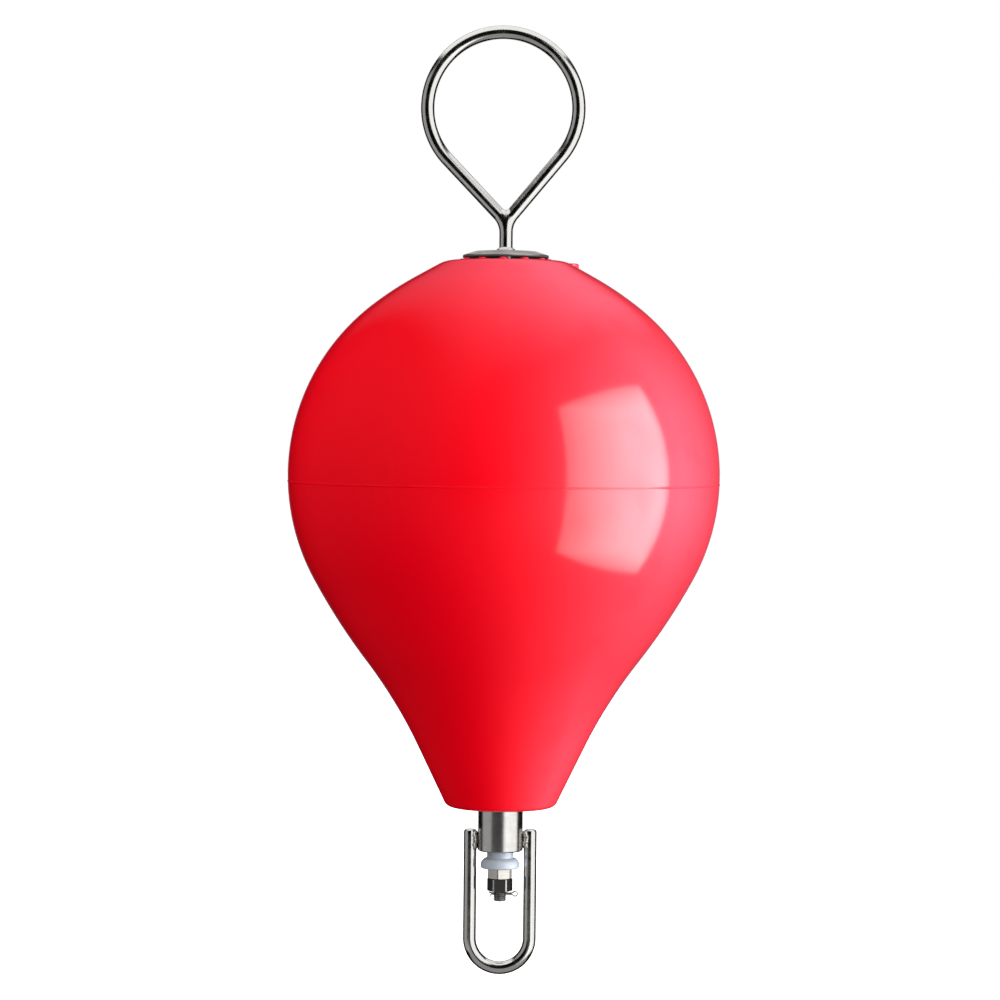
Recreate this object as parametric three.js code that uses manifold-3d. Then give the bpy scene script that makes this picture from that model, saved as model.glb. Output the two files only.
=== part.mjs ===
// A mooring buoy: a hollow vinyl float on a stainless bar, with a pickup ring above and a swivel below.
// Millimetres. +Z runs up the bar, and X lies in the plane of the ring and of the bail.
// The origin is the inside crown of the bail, where the mooring's shackle pulls.

import * as THREE from "three";
import { mergeVertices } from "three/addons/utils/BufferGeometryUtils.js";
import Module from "manifold-3d";

const wasm = await Module();
wasm.setup();

// Clearances.
const seatGap = 0.3;            // between a piece and what it rests on
const turningGap = 0.3;         // on the radius, between a neck or bar and the bore round it
const pulledGap = 0.1;          // between faces that a thread pulls together
const margin = 1;               // how far a cutting tool runs past what it cuts

// Bars.
const eyeBarRadius = 5.4;
const bailBarRadius = 5.2;

// Swivel: a turned sleeve with the bail welded to its sides.
const bailReach = 88.7;         // from the bail's inside crown up to the sleeve
const sleeveRadius = 18.05;
const sleeveLength = 38.3;
const sleeveChamfer = 1;
const bailLegOverlap = 17.4;    // how far the legs run up beside the sleeve
const weldRootGap = 0.7;        // between a leg and the sleeve, filled by the weld
const bailWeldDepth = 8.6;      // the weld's size along Y
const bailWeldBite = 1;         // how far the weld reaches into the leg, past its centreline
const bailWeldEndInset = 0.8;   // the weld stops this far short of the sleeve's end and the leg's end

// Bushes: two alike, one from below and one from above, with their necks in the sleeve.
const bushNeckRadius = 10.5;
const bushNeckLength = 18;
const bushFlangeRadius = 15.5;
const bushFlangeHeight = 8.2;
const bushRimHeight = 2.4;      // the flange's straight rim, below its domed side
const bushEdge = 1;             // the chamfer of the flange's flat side
const floatLift = 5.4;          // how far the float and bar can rise in the swivel

// Nuts and split pin at the bar's lower end.
const nutAcrossFlats = 18;
const nutChamfer = 1;
const upperNutHeight = 8;
const lowerNutHeight = 10;
const upperNutTurn = 19.8;
const lowerNutTurn = 0;
const barTail = 8.2;            // the bar below the lower nut
const barEndChamfer = 1.2;
const pinShankRadius = 1.05;
const pinDrop = 2.4;            // from the lower nut's face to the pin's centreline
const pinHeadReach = 12.2;      // from the bar's centreline to the centre of the pin's eye
const pinEyeRadius = 1.4;
const pinLegRadius = 0.7;
const pinLegStart = 6.4;        // where the legs part, measured from the bar's centreline
const pinLegBend = 1.6;
const upperLegTurn = 20;
const upperLegLength = 2;
const lowerLegTurn = 75;
const lowerLegLength = 1.8;

// Float: a moulded shell round a centre tube.
const wall = 4;
const bellyRadius = 171.7;
const bellyHeight = 263.5;      // the belly's centre above the bottom face
const crownDrop = 0.3;          // the crown's level face below the top that the belly's arc would reach
const bellyEndAngle = 28.6;     // where the belly's arc ends, below the level
const flankRadius = 504.9;
const hollowRadius = 392.4;
const neckRadius = 43.3;
const neckAngle = 25.7;         // the neck's flare from the vertical
const neckCornerRadius = 7;
const shoulderStartAngle = 52;  // where the belly's arc gives way to the shoulder's slower one
const shoulderRadius = 270;
const shoulderAngle = 29;       // the slope of the cone between shoulder and crown
const crownEdgeRadius = 26;
const recessDepth = 11.7;
const recessSideGap = 1.95;     // between the swivel's sleeve and the recess round it
const tubeGap = 0.8;            // between the bar and the centre tube
const partingDrop = 5.2;        // the parting line below the belly's centre
const flashHeight = 0.5;
const flashWidth = 1.2;

// Ribs on the crown, which carry the top plate.
const ribCount = 12;
const ribWidth = 7;
const ribHeight = 1.4;
const ribReach = 36.5;
const ribInnerReach = 14;
const ribTurn = -3.3;           // the first rib's turn from the Y axis

// Top plate: a dished disc.
const plateRadius = 34.2;
const plateThickness = 2.5;
const plateFlatRadius = 24.3;
const plateDish = 3.1;
const plateEdge = 0.4;
const plateWeldSize = 2.4;

// Pickup ring: a teardrop loop, bent from the same bar and leaning a little to one side.
const stemHeight = 23.2;        // from the plate to where the legs' centrelines meet
const ringMeanRadius = 60;
const ringHeight = 90.3;        // from where the centrelines meet to the ring's centre
const ringLean = 2;
const legBendRadius = 21.4;
const crotchBendRadius = 6.2;

// Filling valve, beside the plate.
const valveReach = 52;
const valveTurn = 20;
const valveBossRadius = 9.6;
const valveBossEdge = 1.5;
const valveBossDrop = 1.2;      // the boss's face below the crown
const valveBossDepth = 14.8;
const valveSocketRadius = 7.4;
const valveSocketDepth = 4.6;
const valveBoreRadius = 5.6;
const seatFlangeHeight = 1.3;
const seatTubeLength = 13;
const plugShankRadius = 3.4;
const plugShankLength = 8;
const plugHeadHeight = 1.6;
const plugEdge = 0.3;
const plugSlotWidth = 1.4;
const plugSlotDepth = 0.9;
const sealBarRadius = 0.6;

// Heights that follow from the sizes above.
const sleeveBottom = bailReach;
const sleeveTop = sleeveBottom + sleeveLength;
const upperBushFlange = sleeveTop + seatGap;
const recessCeiling = upperBushFlange + bushFlangeHeight + seatGap;
const floatBottom = recessCeiling - recessDepth;
const crownTop = floatBottom + bellyHeight + bellyRadius - crownDrop;
const plateRim = crownTop + ribHeight + seatGap;
const plateTop = plateRim + plateDish + plateThickness;
const legMeeting = plateTop + stemHeight;
const lowerBushFlange = sleeveBottom - floatLift - seatGap;
const upperNutTop = lowerBushFlange - bushFlangeHeight - pulledGap;
const lowerNutTop = upperNutTop - upperNutHeight - pulledGap;
const lowerNutBottom = lowerNutTop - lowerNutHeight;
const barBottom = lowerNutBottom - barTail;
const pinHeight = lowerNutBottom - pinDrop;

const vinyl = new THREE.MeshStandardMaterial({ color: 0xd8061f, roughness: 0.22, metalness: 0 });
const stainless = new THREE.MeshStandardMaterial({ color: 0xb9b8b4, roughness: 0.25, metalness: 1 });
const nylon = new THREE.MeshStandardMaterial({ color: 0xc3cbd3, roughness: 0.5, metalness: 0 });
const rubber = new THREE.MeshStandardMaterial({ color: 0x1c1c1e, roughness: 0.8, metalness: 0 });

const radians = THREE.MathUtils.degToRad;
const at = (x, y) => new THREE.Vector2(x, y);

/** Closed mesh to solid: shared corners are merged and triangles without area left out. */
function solidOf(geometry) {
  const bare = geometry.clone();
  bare.deleteAttribute("normal");
  bare.deleteAttribute("uv");
  const merged = mergeVertices(bare);
  const corners = merged.index.array;
  const triangles = [];
  for (let i = 0; i < corners.length; i += 3) {
    const [a, b, c] = corners.slice(i, i + 3);
    if (a !== b && b !== c && c !== a) triangles.push(a, b, c);
  }
  return new wasm.Manifold(new wasm.Mesh({
    numProp: 3,
    vertProperties: merged.attributes.position.array,
    triVerts: new Uint32Array(triangles),
  }));
}

/** Solid back to a mesh geometry. */
function geometryOf(solid) {
  const mesh = solid.getMesh();
  const geometry = new THREE.BufferGeometry();
  geometry.setAttribute("position", new THREE.BufferAttribute(mesh.vertProperties, 3));
  geometry.setIndex(new THREE.BufferAttribute(mesh.triVerts, 1));
  geometry.computeVertexNormals();
  return geometry;
}

/** The points of an arc, in degrees from the radius towards +Z, with both ends. */
function arc(centre, radius, from, to, step = 7) {
  const steps = Math.max(1, Math.ceil(Math.abs(to - from) / step));
  const curve = new THREE.EllipseCurve(
    centre.x, centre.y, radius, radius, radians(from), radians(to), to < from);
  return curve.getPoints(steps);
}

/** A turned solid from (radius, height) points, which run up its outside. */
function turned(points, sides = 32) {
  const closed = [...points, points[0].clone()];
  return solidOf(new THREE.LatheGeometry(closed, sides).rotateX(Math.PI / 2));
}

/** A solid cylinder along Z between two heights. */
function cylinder(radius, low, high, sides = 24) {
  return turned([at(0, low), at(radius, low), at(radius, high), at(0, high)], sides);
}

/** A bar's centreline in the XZ plane: straight and bent stretches, each with its own count of steps. */
class Centreline extends THREE.Curve {
  constructor(stretches) {
    super();
    this.stretches = stretches;
    this.steps = stretches.reduce((sum, stretch) => sum + stretch.steps, 0);
  }

  getPoint(t, target = new THREE.Vector3()) {
    let place = t * this.steps;
    let index = 0;
    while (index < this.stretches.length - 1 && place > this.stretches[index].steps) {
      place -= this.stretches[index].steps;
      index += 1;
    }
    const { curve, steps } = this.stretches[index];
    const point = curve.getPoint(place / steps);
    return target.set(point.x, 0, point.y);
  }

  getPointAt(t, target) {
    return this.getPoint(t, target);
  }

  getTangentAt(t, target) {
    return this.getTangent(t, target);
  }
}

/** A straight stretch between two points of the XZ plane. */
function straight(from, to, steps = 1) {
  return { curve: new THREE.LineCurve(from, to), steps };
}

/** A bent stretch: an arc between two angles in degrees. */
function bent(centre, radius, from, to, step = 8) {
  const curve = new THREE.EllipseCurve(
    centre.x, centre.y, radius, radius, radians(from), radians(to), to < from);
  return { curve, steps: Math.max(2, Math.ceil(Math.abs(to - from) / step)) };
}

/** A round bar along a centreline. A closed loop has no end faces. */
function bar(radius, stretches, { sides = 16, closed = false } = {}) {
  const path = new Centreline(stretches);
  const rim = [];
  for (let i = 0; i < sides; i += 1) {
    const angle = (i / sides) * 2 * Math.PI;
    rim.push(at(radius * Math.cos(angle), radius * Math.sin(angle)));
  }
  const section = new THREE.Shape(rim);
  const swept = new THREE.ExtrudeGeometry(section, { steps: path.steps, extrudePath: path });
  if (!closed) return solidOf(swept);
  const side = swept.groups.find((group) => group.materialIndex === 1);
  const position = swept.attributes.position.array.slice(side.start * 3, (side.start + side.count) * 3);
  const loop = new THREE.BufferGeometry();
  loop.setAttribute("position", new THREE.BufferAttribute(position, 3));
  return solidOf(loop);
}

/** The float's outline from its foot to its crown, set inwards by inset, with its foot at a height. */
function floatOutline(inset, foot) {
  const slope = radians(neckAngle);
  const along = at(Math.sin(slope), Math.cos(slope));
  const outwards = at(Math.cos(slope), -Math.sin(slope));
  const belly = at(0, floatBottom + bellyHeight);

  // The flank is a slower arc, tangent to the belly from inside.
  const flankOffset = bellyRadius - flankRadius;
  const flank = at(
    flankOffset * Math.cos(radians(bellyEndAngle)),
    belly.y - flankOffset * Math.sin(radians(bellyEndAngle)));

  // The hollow touches the neck's line, and the flank's arc from outside.
  const neckFoot = at(neckRadius, floatBottom);
  const hollow = neckFoot.addScaledVector(outwards, hollowRadius);
  const fromFlank = hollow.clone().sub(flank);
  const back = fromFlank.dot(along);
  const spare = back ** 2 + (flankRadius + hollowRadius) ** 2 - fromFlank.lengthSq();
  hollow.addScaledVector(along, -back - Math.sqrt(spare));
  fromFlank.subVectors(hollow, flank);
  const flankEndAngle = THREE.MathUtils.radToDeg(Math.atan2(-fromFlank.y, fromFlank.x));

  // The foot's corner touches the neck's line and the foot's level face.
  const corner = at(
    neckRadius + (foot + neckCornerRadius - floatBottom) * Math.tan(slope)
      - (inset + neckCornerRadius) / Math.cos(slope),
    foot + neckCornerRadius);

  // The shoulder is tangent to the belly. The crown's edge touches the cone that the shoulder ends in.
  const shoulderOffset = bellyRadius - shoulderRadius;
  const shoulder = at(
    shoulderOffset * Math.cos(radians(shoulderStartAngle)),
    belly.y + shoulderOffset * Math.sin(radians(shoulderStartAngle)));
  const cone = radians(shoulderAngle);
  const crownEdge = at(0, crownTop - crownEdgeRadius);
  const toEdge = shoulderRadius - crownEdgeRadius - (crownEdge.y - shoulder.y) * Math.cos(cone);
  crownEdge.x = shoulder.x + toEdge / Math.sin(cone);

  return {
    below: [
      ...arc(corner, neckCornerRadius, -90, -neckAngle, 16),
      ...arc(hollow, hollowRadius + inset, 180 - neckAngle, 180 - flankEndAngle, 4),
      ...arc(flank, flankRadius - inset, -flankEndAngle, -bellyEndAngle, 4),
    ],
    belly,
    bellyRadius: bellyRadius - inset,
    above: [
      ...arc(shoulder, shoulderRadius - inset, shoulderStartAngle, 90 - shoulderAngle, 5),
      ...arc(crownEdge, crownEdgeRadius - inset, 90 - shoulderAngle, 90, 10),
    ],
  };
}

/** The float's outside: the belly's arc carries the flash of the mould's parting line. */
function floatBody(boreRadius, recessRadius) {
  const { below, belly, bellyRadius: radius, above } = floatOutline(0, floatBottom);
  const angleAt = (drop) => -THREE.MathUtils.radToDeg(Math.asin(drop / radius));
  const flashRadius = Math.sqrt(radius ** 2 - partingDrop ** 2) + flashHeight;
  return turned([
    at(boreRadius, recessCeiling),
    at(recessRadius, recessCeiling),
    at(recessRadius, floatBottom),
    ...below,
    ...arc(belly, radius, -bellyEndAngle, angleAt(partingDrop + flashWidth / 2)),
    at(flashRadius, belly.y - partingDrop),
    ...arc(belly, radius, angleAt(partingDrop - flashWidth / 2), shoulderStartAngle),
    ...above,
    at(boreRadius, crownTop),
  ], 48);
}

/** The float's hollow, round the centre tube. */
function floatHollow(tubeRadius) {
  const floor = recessCeiling + wall;
  const { below, belly, bellyRadius: radius, above } = floatOutline(wall, floor);
  return turned([
    at(tubeRadius, floor),
    ...below,
    ...arc(belly, radius, -bellyEndAngle, shoulderStartAngle, 9),
    ...above,
    at(tubeRadius, crownTop - wall),
  ], 28);
}

/** One rib of the crown, with a round outer end, pointing along +X. */
function crownRib() {
  const end = ribReach - ribWidth / 2;
  const outline = new THREE.Shape();
  outline.moveTo(ribInnerReach, -ribWidth / 2);
  outline.lineTo(end, -ribWidth / 2);
  outline.absarc(end, 0, ribWidth / 2, -Math.PI / 2, Math.PI / 2);
  outline.lineTo(ribInnerReach, ribWidth / 2);
  outline.closePath();
  const depth = ribHeight + wall / 2;
  const rib = new THREE.ExtrudeGeometry(outline, { depth, bevelEnabled: false, curveSegments: 3 });
  return solidOf(rib.translate(0, 0, crownTop - wall / 2));
}

const valvePlace = at(
  valveReach * Math.cos(radians(valveTurn)), valveReach * Math.sin(radians(valveTurn)));
const valveTop = crownTop - valveBossDrop;
const valveSocketFloor = valveTop - valveSocketDepth;

/** The valve's boss, which also stands a little into the hollow, with its upper edge rounded. */
function valveBoss() {
  const edge = at(valveBossRadius - valveBossEdge, valveTop - valveBossEdge);
  const low = valveTop - valveBossDepth;
  return turned([
    at(0, low), at(valveBossRadius, low), ...arc(edge, valveBossEdge, 0, 90, 30), at(0, valveTop),
  ], 24);
}

/** The socket and bore through the boss into the hollow. */
function valveHole() {
  const low = valveTop - valveBossDepth - margin;
  const high = valveTop + margin;
  return turned([
    at(0, low), at(valveBoreRadius, low), at(valveBoreRadius, valveSocketFloor),
    at(valveSocketRadius, valveSocketFloor), at(valveSocketRadius, high), at(0, high),
  ], 24);
}

function floatShell() {
  const bore = eyeBarRadius + tubeGap;
  let shell = floatBody(bore, sleeveRadius + recessSideGap).subtract(floatHollow(bore + wall));
  for (let i = 0; i < ribCount; i += 1) {
    const turn = 90 + ribTurn + (i * 360) / ribCount;
    shell = shell.add(crownRib().rotate([0, 0, turn]));
  }
  const place = [valvePlace.x, valvePlace.y, 0];
  return shell.add(valveBoss().translate(place)).subtract(valveHole().translate(place));
}

const seatFloor = valveSocketFloor + pulledGap;
const sealHeight = seatFloor + seatFlangeHeight + sealBarRadius + pulledGap;
const plugHeadBottom = sealHeight + sealBarRadius + pulledGap;

/** The flanged socket that is set in the boss. */
function valveSeat() {
  const inner = plugShankRadius + seatGap;
  const outer = valveBoreRadius - seatGap;
  const low = seatFloor - seatTubeLength;
  const high = seatFloor + seatFlangeHeight;
  return turned([
    at(inner, low), at(outer, low), at(outer, seatFloor),
    at(valveSocketRadius - seatGap, seatFloor), at(valveSocketRadius - seatGap, high), at(inner, high),
  ], 24);
}

/** The seal under the plug's head. */
function valveSeal() {
  const middle = (plugShankRadius + valveSocketRadius) / 2;
  const ring = new THREE.TorusGeometry(middle, sealBarRadius, 8, 24);
  return solidOf(ring.translate(0, 0, sealHeight));
}

/** The screw plug, with a slot for a coin. */
function valvePlug() {
  const headRadius = valveSocketRadius - seatGap;
  const top = plugHeadBottom + plugHeadHeight;
  const low = plugHeadBottom - plugShankLength;
  const plug = turned([
    at(0, low), at(plugShankRadius, low), at(plugShankRadius, plugHeadBottom),
    at(headRadius, plugHeadBottom), at(headRadius, top - plugEdge), at(headRadius - plugEdge, top),
    at(0, top),
  ], 24);
  const slot = new THREE.BoxGeometry(2 * headRadius + margin, plugSlotWidth, 2 * plugSlotDepth);
  return plug.subtract(solidOf(slot.translate(0, 0, top)));
}

/** The dished plate that presses on the ribs. */
function topPlate() {
  const hole = eyeBarRadius + seatGap;
  const rimTop = plateRim + plateThickness;
  const flatUnder = plateTop - plateThickness;
  return turned([
    at(hole, flatUnder), at(plateFlatRadius, flatUnder), at(plateRadius - plateEdge, plateRim),
    at(plateRadius, plateRim + plateEdge), at(plateRadius, rimTop - plateEdge),
    at(plateRadius - plateEdge, rimTop), at(plateFlatRadius, plateTop), at(hole, plateTop),
  ], 40);
}

/** The teardrop loop about its own upright axis, from the point where its legs' centrelines meet. */
function pickupLoop() {
  const half = Math.asin(ringMeanRadius / ringHeight);
  const halfAngle = THREE.MathUtils.radToDeg(half);
  const legLength = ringMeanRadius / Math.tan(half);
  const crotchRun = crotchBendRadius / Math.tan(half);
  const onLeg = (side, run) => at(side * run * Math.sin(half), run * Math.cos(half));
  const ringCentre = at(0, ringHeight);
  const crotchCentre = at(0, crotchBendRadius / Math.sin(half));
  const joint = onLeg(-1, legLength / 2);
  return bar(eyeBarRadius, [
    straight(joint, onLeg(-1, legLength)),
    bent(ringCentre, ringMeanRadius, 180 + halfAngle, -halfAngle),
    straight(onLeg(1, legLength), onLeg(1, crotchRun)),
    bent(crotchCentre, crotchBendRadius, -halfAngle, halfAngle - 180, 17),
    straight(onLeg(-1, crotchRun), joint),
  ], { closed: true });
}

/** How far a leg turns from the upright: side is 1 for the right leg and -1 for the left one. */
function legTurn(side) {
  return THREE.MathUtils.radToDeg(Math.asin(ringMeanRadius / ringHeight)) - side * ringLean;
}

/** The height where a leg's bend leaves the stem. */
function legBendStart(side) {
  return legMeeting - legBendRadius * Math.tan(radians(legTurn(side) / 2));
}

/** The bend between the stem and one leg. */
function legBend(side) {
  const centre = at(side * legBendRadius, legBendStart(side));
  const from = side === 1 ? 180 : 0;
  return bar(eyeBarRadius, [bent(centre, legBendRadius, from, from - side * legTurn(side), 7)]);
}

/** Stem, shank and lower end, with the weld's fillet on the plate and the split pin's hole. */
function barShank() {
  const top = legBendStart(-1) + margin;
  const weldFoot = plateTop + seatGap;
  const shank = turned([
    at(0, barBottom), at(eyeBarRadius - barEndChamfer, barBottom),
    at(eyeBarRadius, barBottom + barEndChamfer), at(eyeBarRadius, weldFoot),
    at(eyeBarRadius + plateWeldSize, weldFoot),
    at(eyeBarRadius + plateWeldSize / 3, weldFoot + plateWeldSize / 3),
    at(eyeBarRadius, weldFoot + plateWeldSize),
    at(eyeBarRadius, top), at(0, top),
  ], 16);
  const reach = 2 * eyeBarRadius;
  const hole = cylinder(pinShankRadius + seatGap, -reach, reach, 16);
  return shank.subtract(hole.rotate([0, 90, 0]).translate([0, 0, pinHeight]));
}

function eyeRod() {
  const loop = pickupLoop().rotate([0, -ringLean, 0]).translate([0, 0, legMeeting]);
  return barShank().add(loop).add(legBend(1)).add(legBend(-1));
}

/** The swivel's turned sleeve. */
function swivelSleeve() {
  const bore = bushNeckRadius + turningGap;
  const edge = sleeveRadius - sleeveChamfer;
  return turned([
    at(bore, sleeveBottom), at(edge, sleeveBottom), at(sleeveRadius, sleeveBottom + sleeveChamfer),
    at(sleeveRadius, sleeveTop - sleeveChamfer), at(edge, sleeveTop), at(bore, sleeveTop),
  ], 40);
}

/** The U-shaped bail with a weld on the inside of each leg. */
function bail() {
  const legOffset = sleeveRadius + weldRootGap + bailBarRadius;
  const legTop = sleeveBottom + bailLegOverlap;
  const crown = at(0, legOffset - bailBarRadius);
  const bow = bar(bailBarRadius, [
    straight(at(-legOffset, legTop), at(-legOffset, crown.y)),
    bent(crown, legOffset, 180, 360, 10),
    straight(at(legOffset, crown.y), at(legOffset, legTop)),
  ]);
  const low = sleeveBottom + bailWeldEndInset;
  const height = legTop - bailWeldEndInset - low;
  const sleeveSide = Math.sqrt(sleeveRadius ** 2 - (bailWeldDepth / 2) ** 2);
  const run = legOffset + bailWeldBite - sleeveSide;
  const block = new THREE.BoxGeometry(run, bailWeldDepth, height);
  block.translate(sleeveSide + run / 2, 0, low + height / 2);
  const room = cylinder(sleeveRadius + seatGap, sleeveBottom - margin, legTop + margin, 40);
  const right = solidOf(block).subtract(room);
  return bow.add(right).add(right.rotate([0, 0, 180]));
}

/** A bush with its neck up: the neck's foot is at height zero, and the flange hangs below it. */
function flangedBush() {
  const bore = eyeBarRadius + turningGap;
  const dome = bushFlangeHeight - bushRimHeight;
  const bulge = bushFlangeRadius - bushNeckRadius;
  const domeSteps = 5;
  const side = [];
  for (let i = 0; i <= domeSteps; i += 1) {
    const angle = (i / domeSteps) * (Math.PI / 2);
    side.push(at(bushNeckRadius + bulge * Math.cos(angle), -dome + dome * Math.sin(angle)));
  }
  return turned([
    at(bore, -bushFlangeHeight), at(bushFlangeRadius - bushEdge, -bushFlangeHeight),
    at(bushFlangeRadius, bushEdge - bushFlangeHeight), ...side,
    at(bushNeckRadius, bushNeckLength), at(bore, bushNeckLength),
  ], 32);
}

/** A hexagon nut with both faces chamfered, a corner of it turned from the X axis. */
function hexNut(height, turn) {
  const cornerRadius = nutAcrossFlats / Math.sqrt(3);
  const outline = new THREE.Shape();
  for (let i = 0; i < 6; i += 1) {
    const angle = radians(turn + 60 * i);
    outline.lineTo(cornerRadius * Math.cos(angle), cornerRadius * Math.sin(angle));
  }
  outline.closePath();
  const prism = solidOf(new THREE.ExtrudeGeometry(outline, { depth: height, bevelEnabled: false }));
  const edge = cornerRadius - nutChamfer;
  const drop = nutChamfer / Math.sqrt(3);
  const bore = eyeBarRadius + turningGap;
  const limits = turned([
    at(bore, 0), at(edge, 0), at(edge + 2 * nutChamfer, 2 * drop),
    at(edge + 2 * nutChamfer, height - 2 * drop), at(edge, height), at(bore, height),
  ], 36);
  return prism.intersect(limits);
}

/** The split pin along X: an eye, a shank through the bar, and two legs bent apart. */
function splitPin() {
  const shank = cylinder(pinShankRadius, -pinHeadReach + pinEyeRadius, pinLegStart, 12);
  const eye = new THREE.TorusGeometry(pinEyeRadius, pinLegRadius, 8, 16).rotateX(Math.PI / 2);
  const leg = (up, turn, length) => {
    const part = at(-pinLegStart, up * (pinShankRadius - pinLegRadius));
    const centre = at(part.x, part.y + up * pinLegBend);
    const bendEnd = radians(-up * (90 + turn));
    const end = at(
      centre.x + pinLegBend * Math.cos(bendEnd), centre.y + pinLegBend * Math.sin(bendEnd));
    const tip = at(
      end.x - length * Math.cos(radians(turn)), end.y + up * length * Math.sin(radians(turn)));
    return bar(pinLegRadius, [
      straight(at(part.x + pinLegRadius, part.y), part),
      bent(centre, pinLegBend, -90 * up, -up * (90 + turn), 22),
      straight(end, tip),
    ], { sides: 8 });
  };
  return shank.rotate([0, -90, 0])
    .add(solidOf(eye.translate(pinHeadReach, 0, 0)))
    .add(leg(1, upperLegTurn, upperLegLength))
    .add(leg(-1, lowerLegTurn, lowerLegLength));
}

const group = new THREE.Group();

/** Adds a solid to the model as a named mesh at a place. */
function add(name, solid, material, place = [0, 0, 0]) {
  const mesh = new THREE.Mesh(geometryOf(solid), material);
  mesh.name = name;
  mesh.position.set(...place);
  group.add(mesh);
  return mesh;
}

add("swivel_sleeve", swivelSleeve(), stainless);
add("bail", bail(), stainless);
const upperBush = add("upper_bush", flangedBush(), nylon, [0, 0, upperBushFlange]);
upperBush.rotation.x = Math.PI;
add("lower_bush", flangedBush(), nylon, [0, 0, lowerBushFlange]);
add("float_shell", floatShell(), vinyl);
add("valve_seat", valveSeat(), nylon, [valvePlace.x, valvePlace.y, 0]);
add("valve_o_ring", valveSeal(), rubber, [valvePlace.x, valvePlace.y, 0]);
add("valve_plug", valvePlug(), nylon, [valvePlace.x, valvePlace.y, 0]);
add("eye_rod", eyeRod(), stainless);
add("top_plate", topPlate(), stainless);
add("upper_nut", hexNut(upperNutHeight, upperNutTurn), stainless, [0, 0, upperNutTop - upperNutHeight]);
add("lower_nut", hexNut(lowerNutHeight, lowerNutTurn), stainless, [0, 0, lowerNutBottom]);
add("cotter_pin", splitPin(), stainless, [0, 0, pinHeight]);

export default group;
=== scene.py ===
# %% [markdown]
# # A mooring buoy
#
# A red vinyl float sits on a stainless bar. The bar ends in a pickup ring above, and in a swivel with a
# U-shaped bail below. This lesson dresses the imported solids: each of them is replaced by a finer surface
# in the same place, and each finish is worked out from noise and from the shape itself.
#
# The first cell loads the solids, whose box the finer surfaces have to stay inside.

# %% Load the solids
import math

import bpy
import numpy as np
from mathutils import Matrix, Vector


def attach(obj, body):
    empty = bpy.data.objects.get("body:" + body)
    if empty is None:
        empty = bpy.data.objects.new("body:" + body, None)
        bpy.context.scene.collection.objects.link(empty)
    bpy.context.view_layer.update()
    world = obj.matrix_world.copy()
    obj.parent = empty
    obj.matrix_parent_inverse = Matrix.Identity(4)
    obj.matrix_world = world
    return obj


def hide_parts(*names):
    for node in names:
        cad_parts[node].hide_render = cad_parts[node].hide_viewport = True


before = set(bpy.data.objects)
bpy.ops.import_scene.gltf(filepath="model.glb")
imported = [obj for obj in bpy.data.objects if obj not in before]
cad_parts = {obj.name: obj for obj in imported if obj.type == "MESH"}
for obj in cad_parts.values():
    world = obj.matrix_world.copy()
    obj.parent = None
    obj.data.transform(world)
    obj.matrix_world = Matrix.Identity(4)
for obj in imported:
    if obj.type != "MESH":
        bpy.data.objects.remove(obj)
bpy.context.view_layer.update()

MM = 0.001
TURN = 2 * math.pi
print("solids:", sorted(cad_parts))

# %% [markdown]
# ## The camera
#
# The photograph was taken from about 2.7 m with a long lens, from the middle of the buoy and tilted down
# by 1.6 degrees. The parting line is seen from a little above and the crown from a little below, and those
# two curves gave the camera's height. The buoy leans half a degree in the picture. Leaning the camera
# instead keeps the buoy upright in its own frame.

# %% Camera
camera_place = Vector((-2.8, -2707, 443.8)) * MM
camera_down = math.radians(1.59)
camera_roll = math.radians(0.55)
focal_share = 3.4013

camera_data = bpy.data.cameras.new("camera")
camera_data.sensor_width = 36
camera_data.lens = focal_share * camera_data.sensor_width
camera_data.clip_end = 100
camera = bpy.data.objects.new("camera", camera_data)
bpy.context.scene.collection.objects.link(camera)
tilt = Matrix.Rotation(math.radians(90) - camera_down, 4, "X")
camera.matrix_world = Matrix.Translation(camera_place) @ tilt @ Matrix.Rotation(camera_roll, 4, "Z")
bpy.context.scene.camera = camera
bpy.context.scene.view_settings.view_transform = "Standard"
print("lens:", round(camera_data.lens, 1), "mm")

# %% [markdown]
# ## Finishes as expressions
#
# A finish is written as arithmetic on values that change over the surface. The small class below stands
# for one output of a node, and an expression such as `1 - worn * 0.3` adds the Math nodes it needs. Any
# other node comes from one method, `node`. Numbers that are the same all over go straight onto the
# shader's own socket.

# %% Values and finishes


class Value:
    """One output of a node. Arithmetic on it adds Math nodes."""

    def __init__(self, finish, socket):
        self.finish = finish
        self.socket = socket

    def math(self, operation, first, second):
        return self.finish.node("ShaderNodeMath", {"operation": operation}, {0: first, 1: second})

    def __add__(self, other):
        return self.math("ADD", self, other)

    def __sub__(self, other):
        return self.math("SUBTRACT", self, other)

    def __rsub__(self, other):
        return self.math("SUBTRACT", other, self)

    def __mul__(self, other):
        return self.math("MULTIPLY", self, other)

    __radd__ = __add__
    __rmul__ = __mul__


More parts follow.
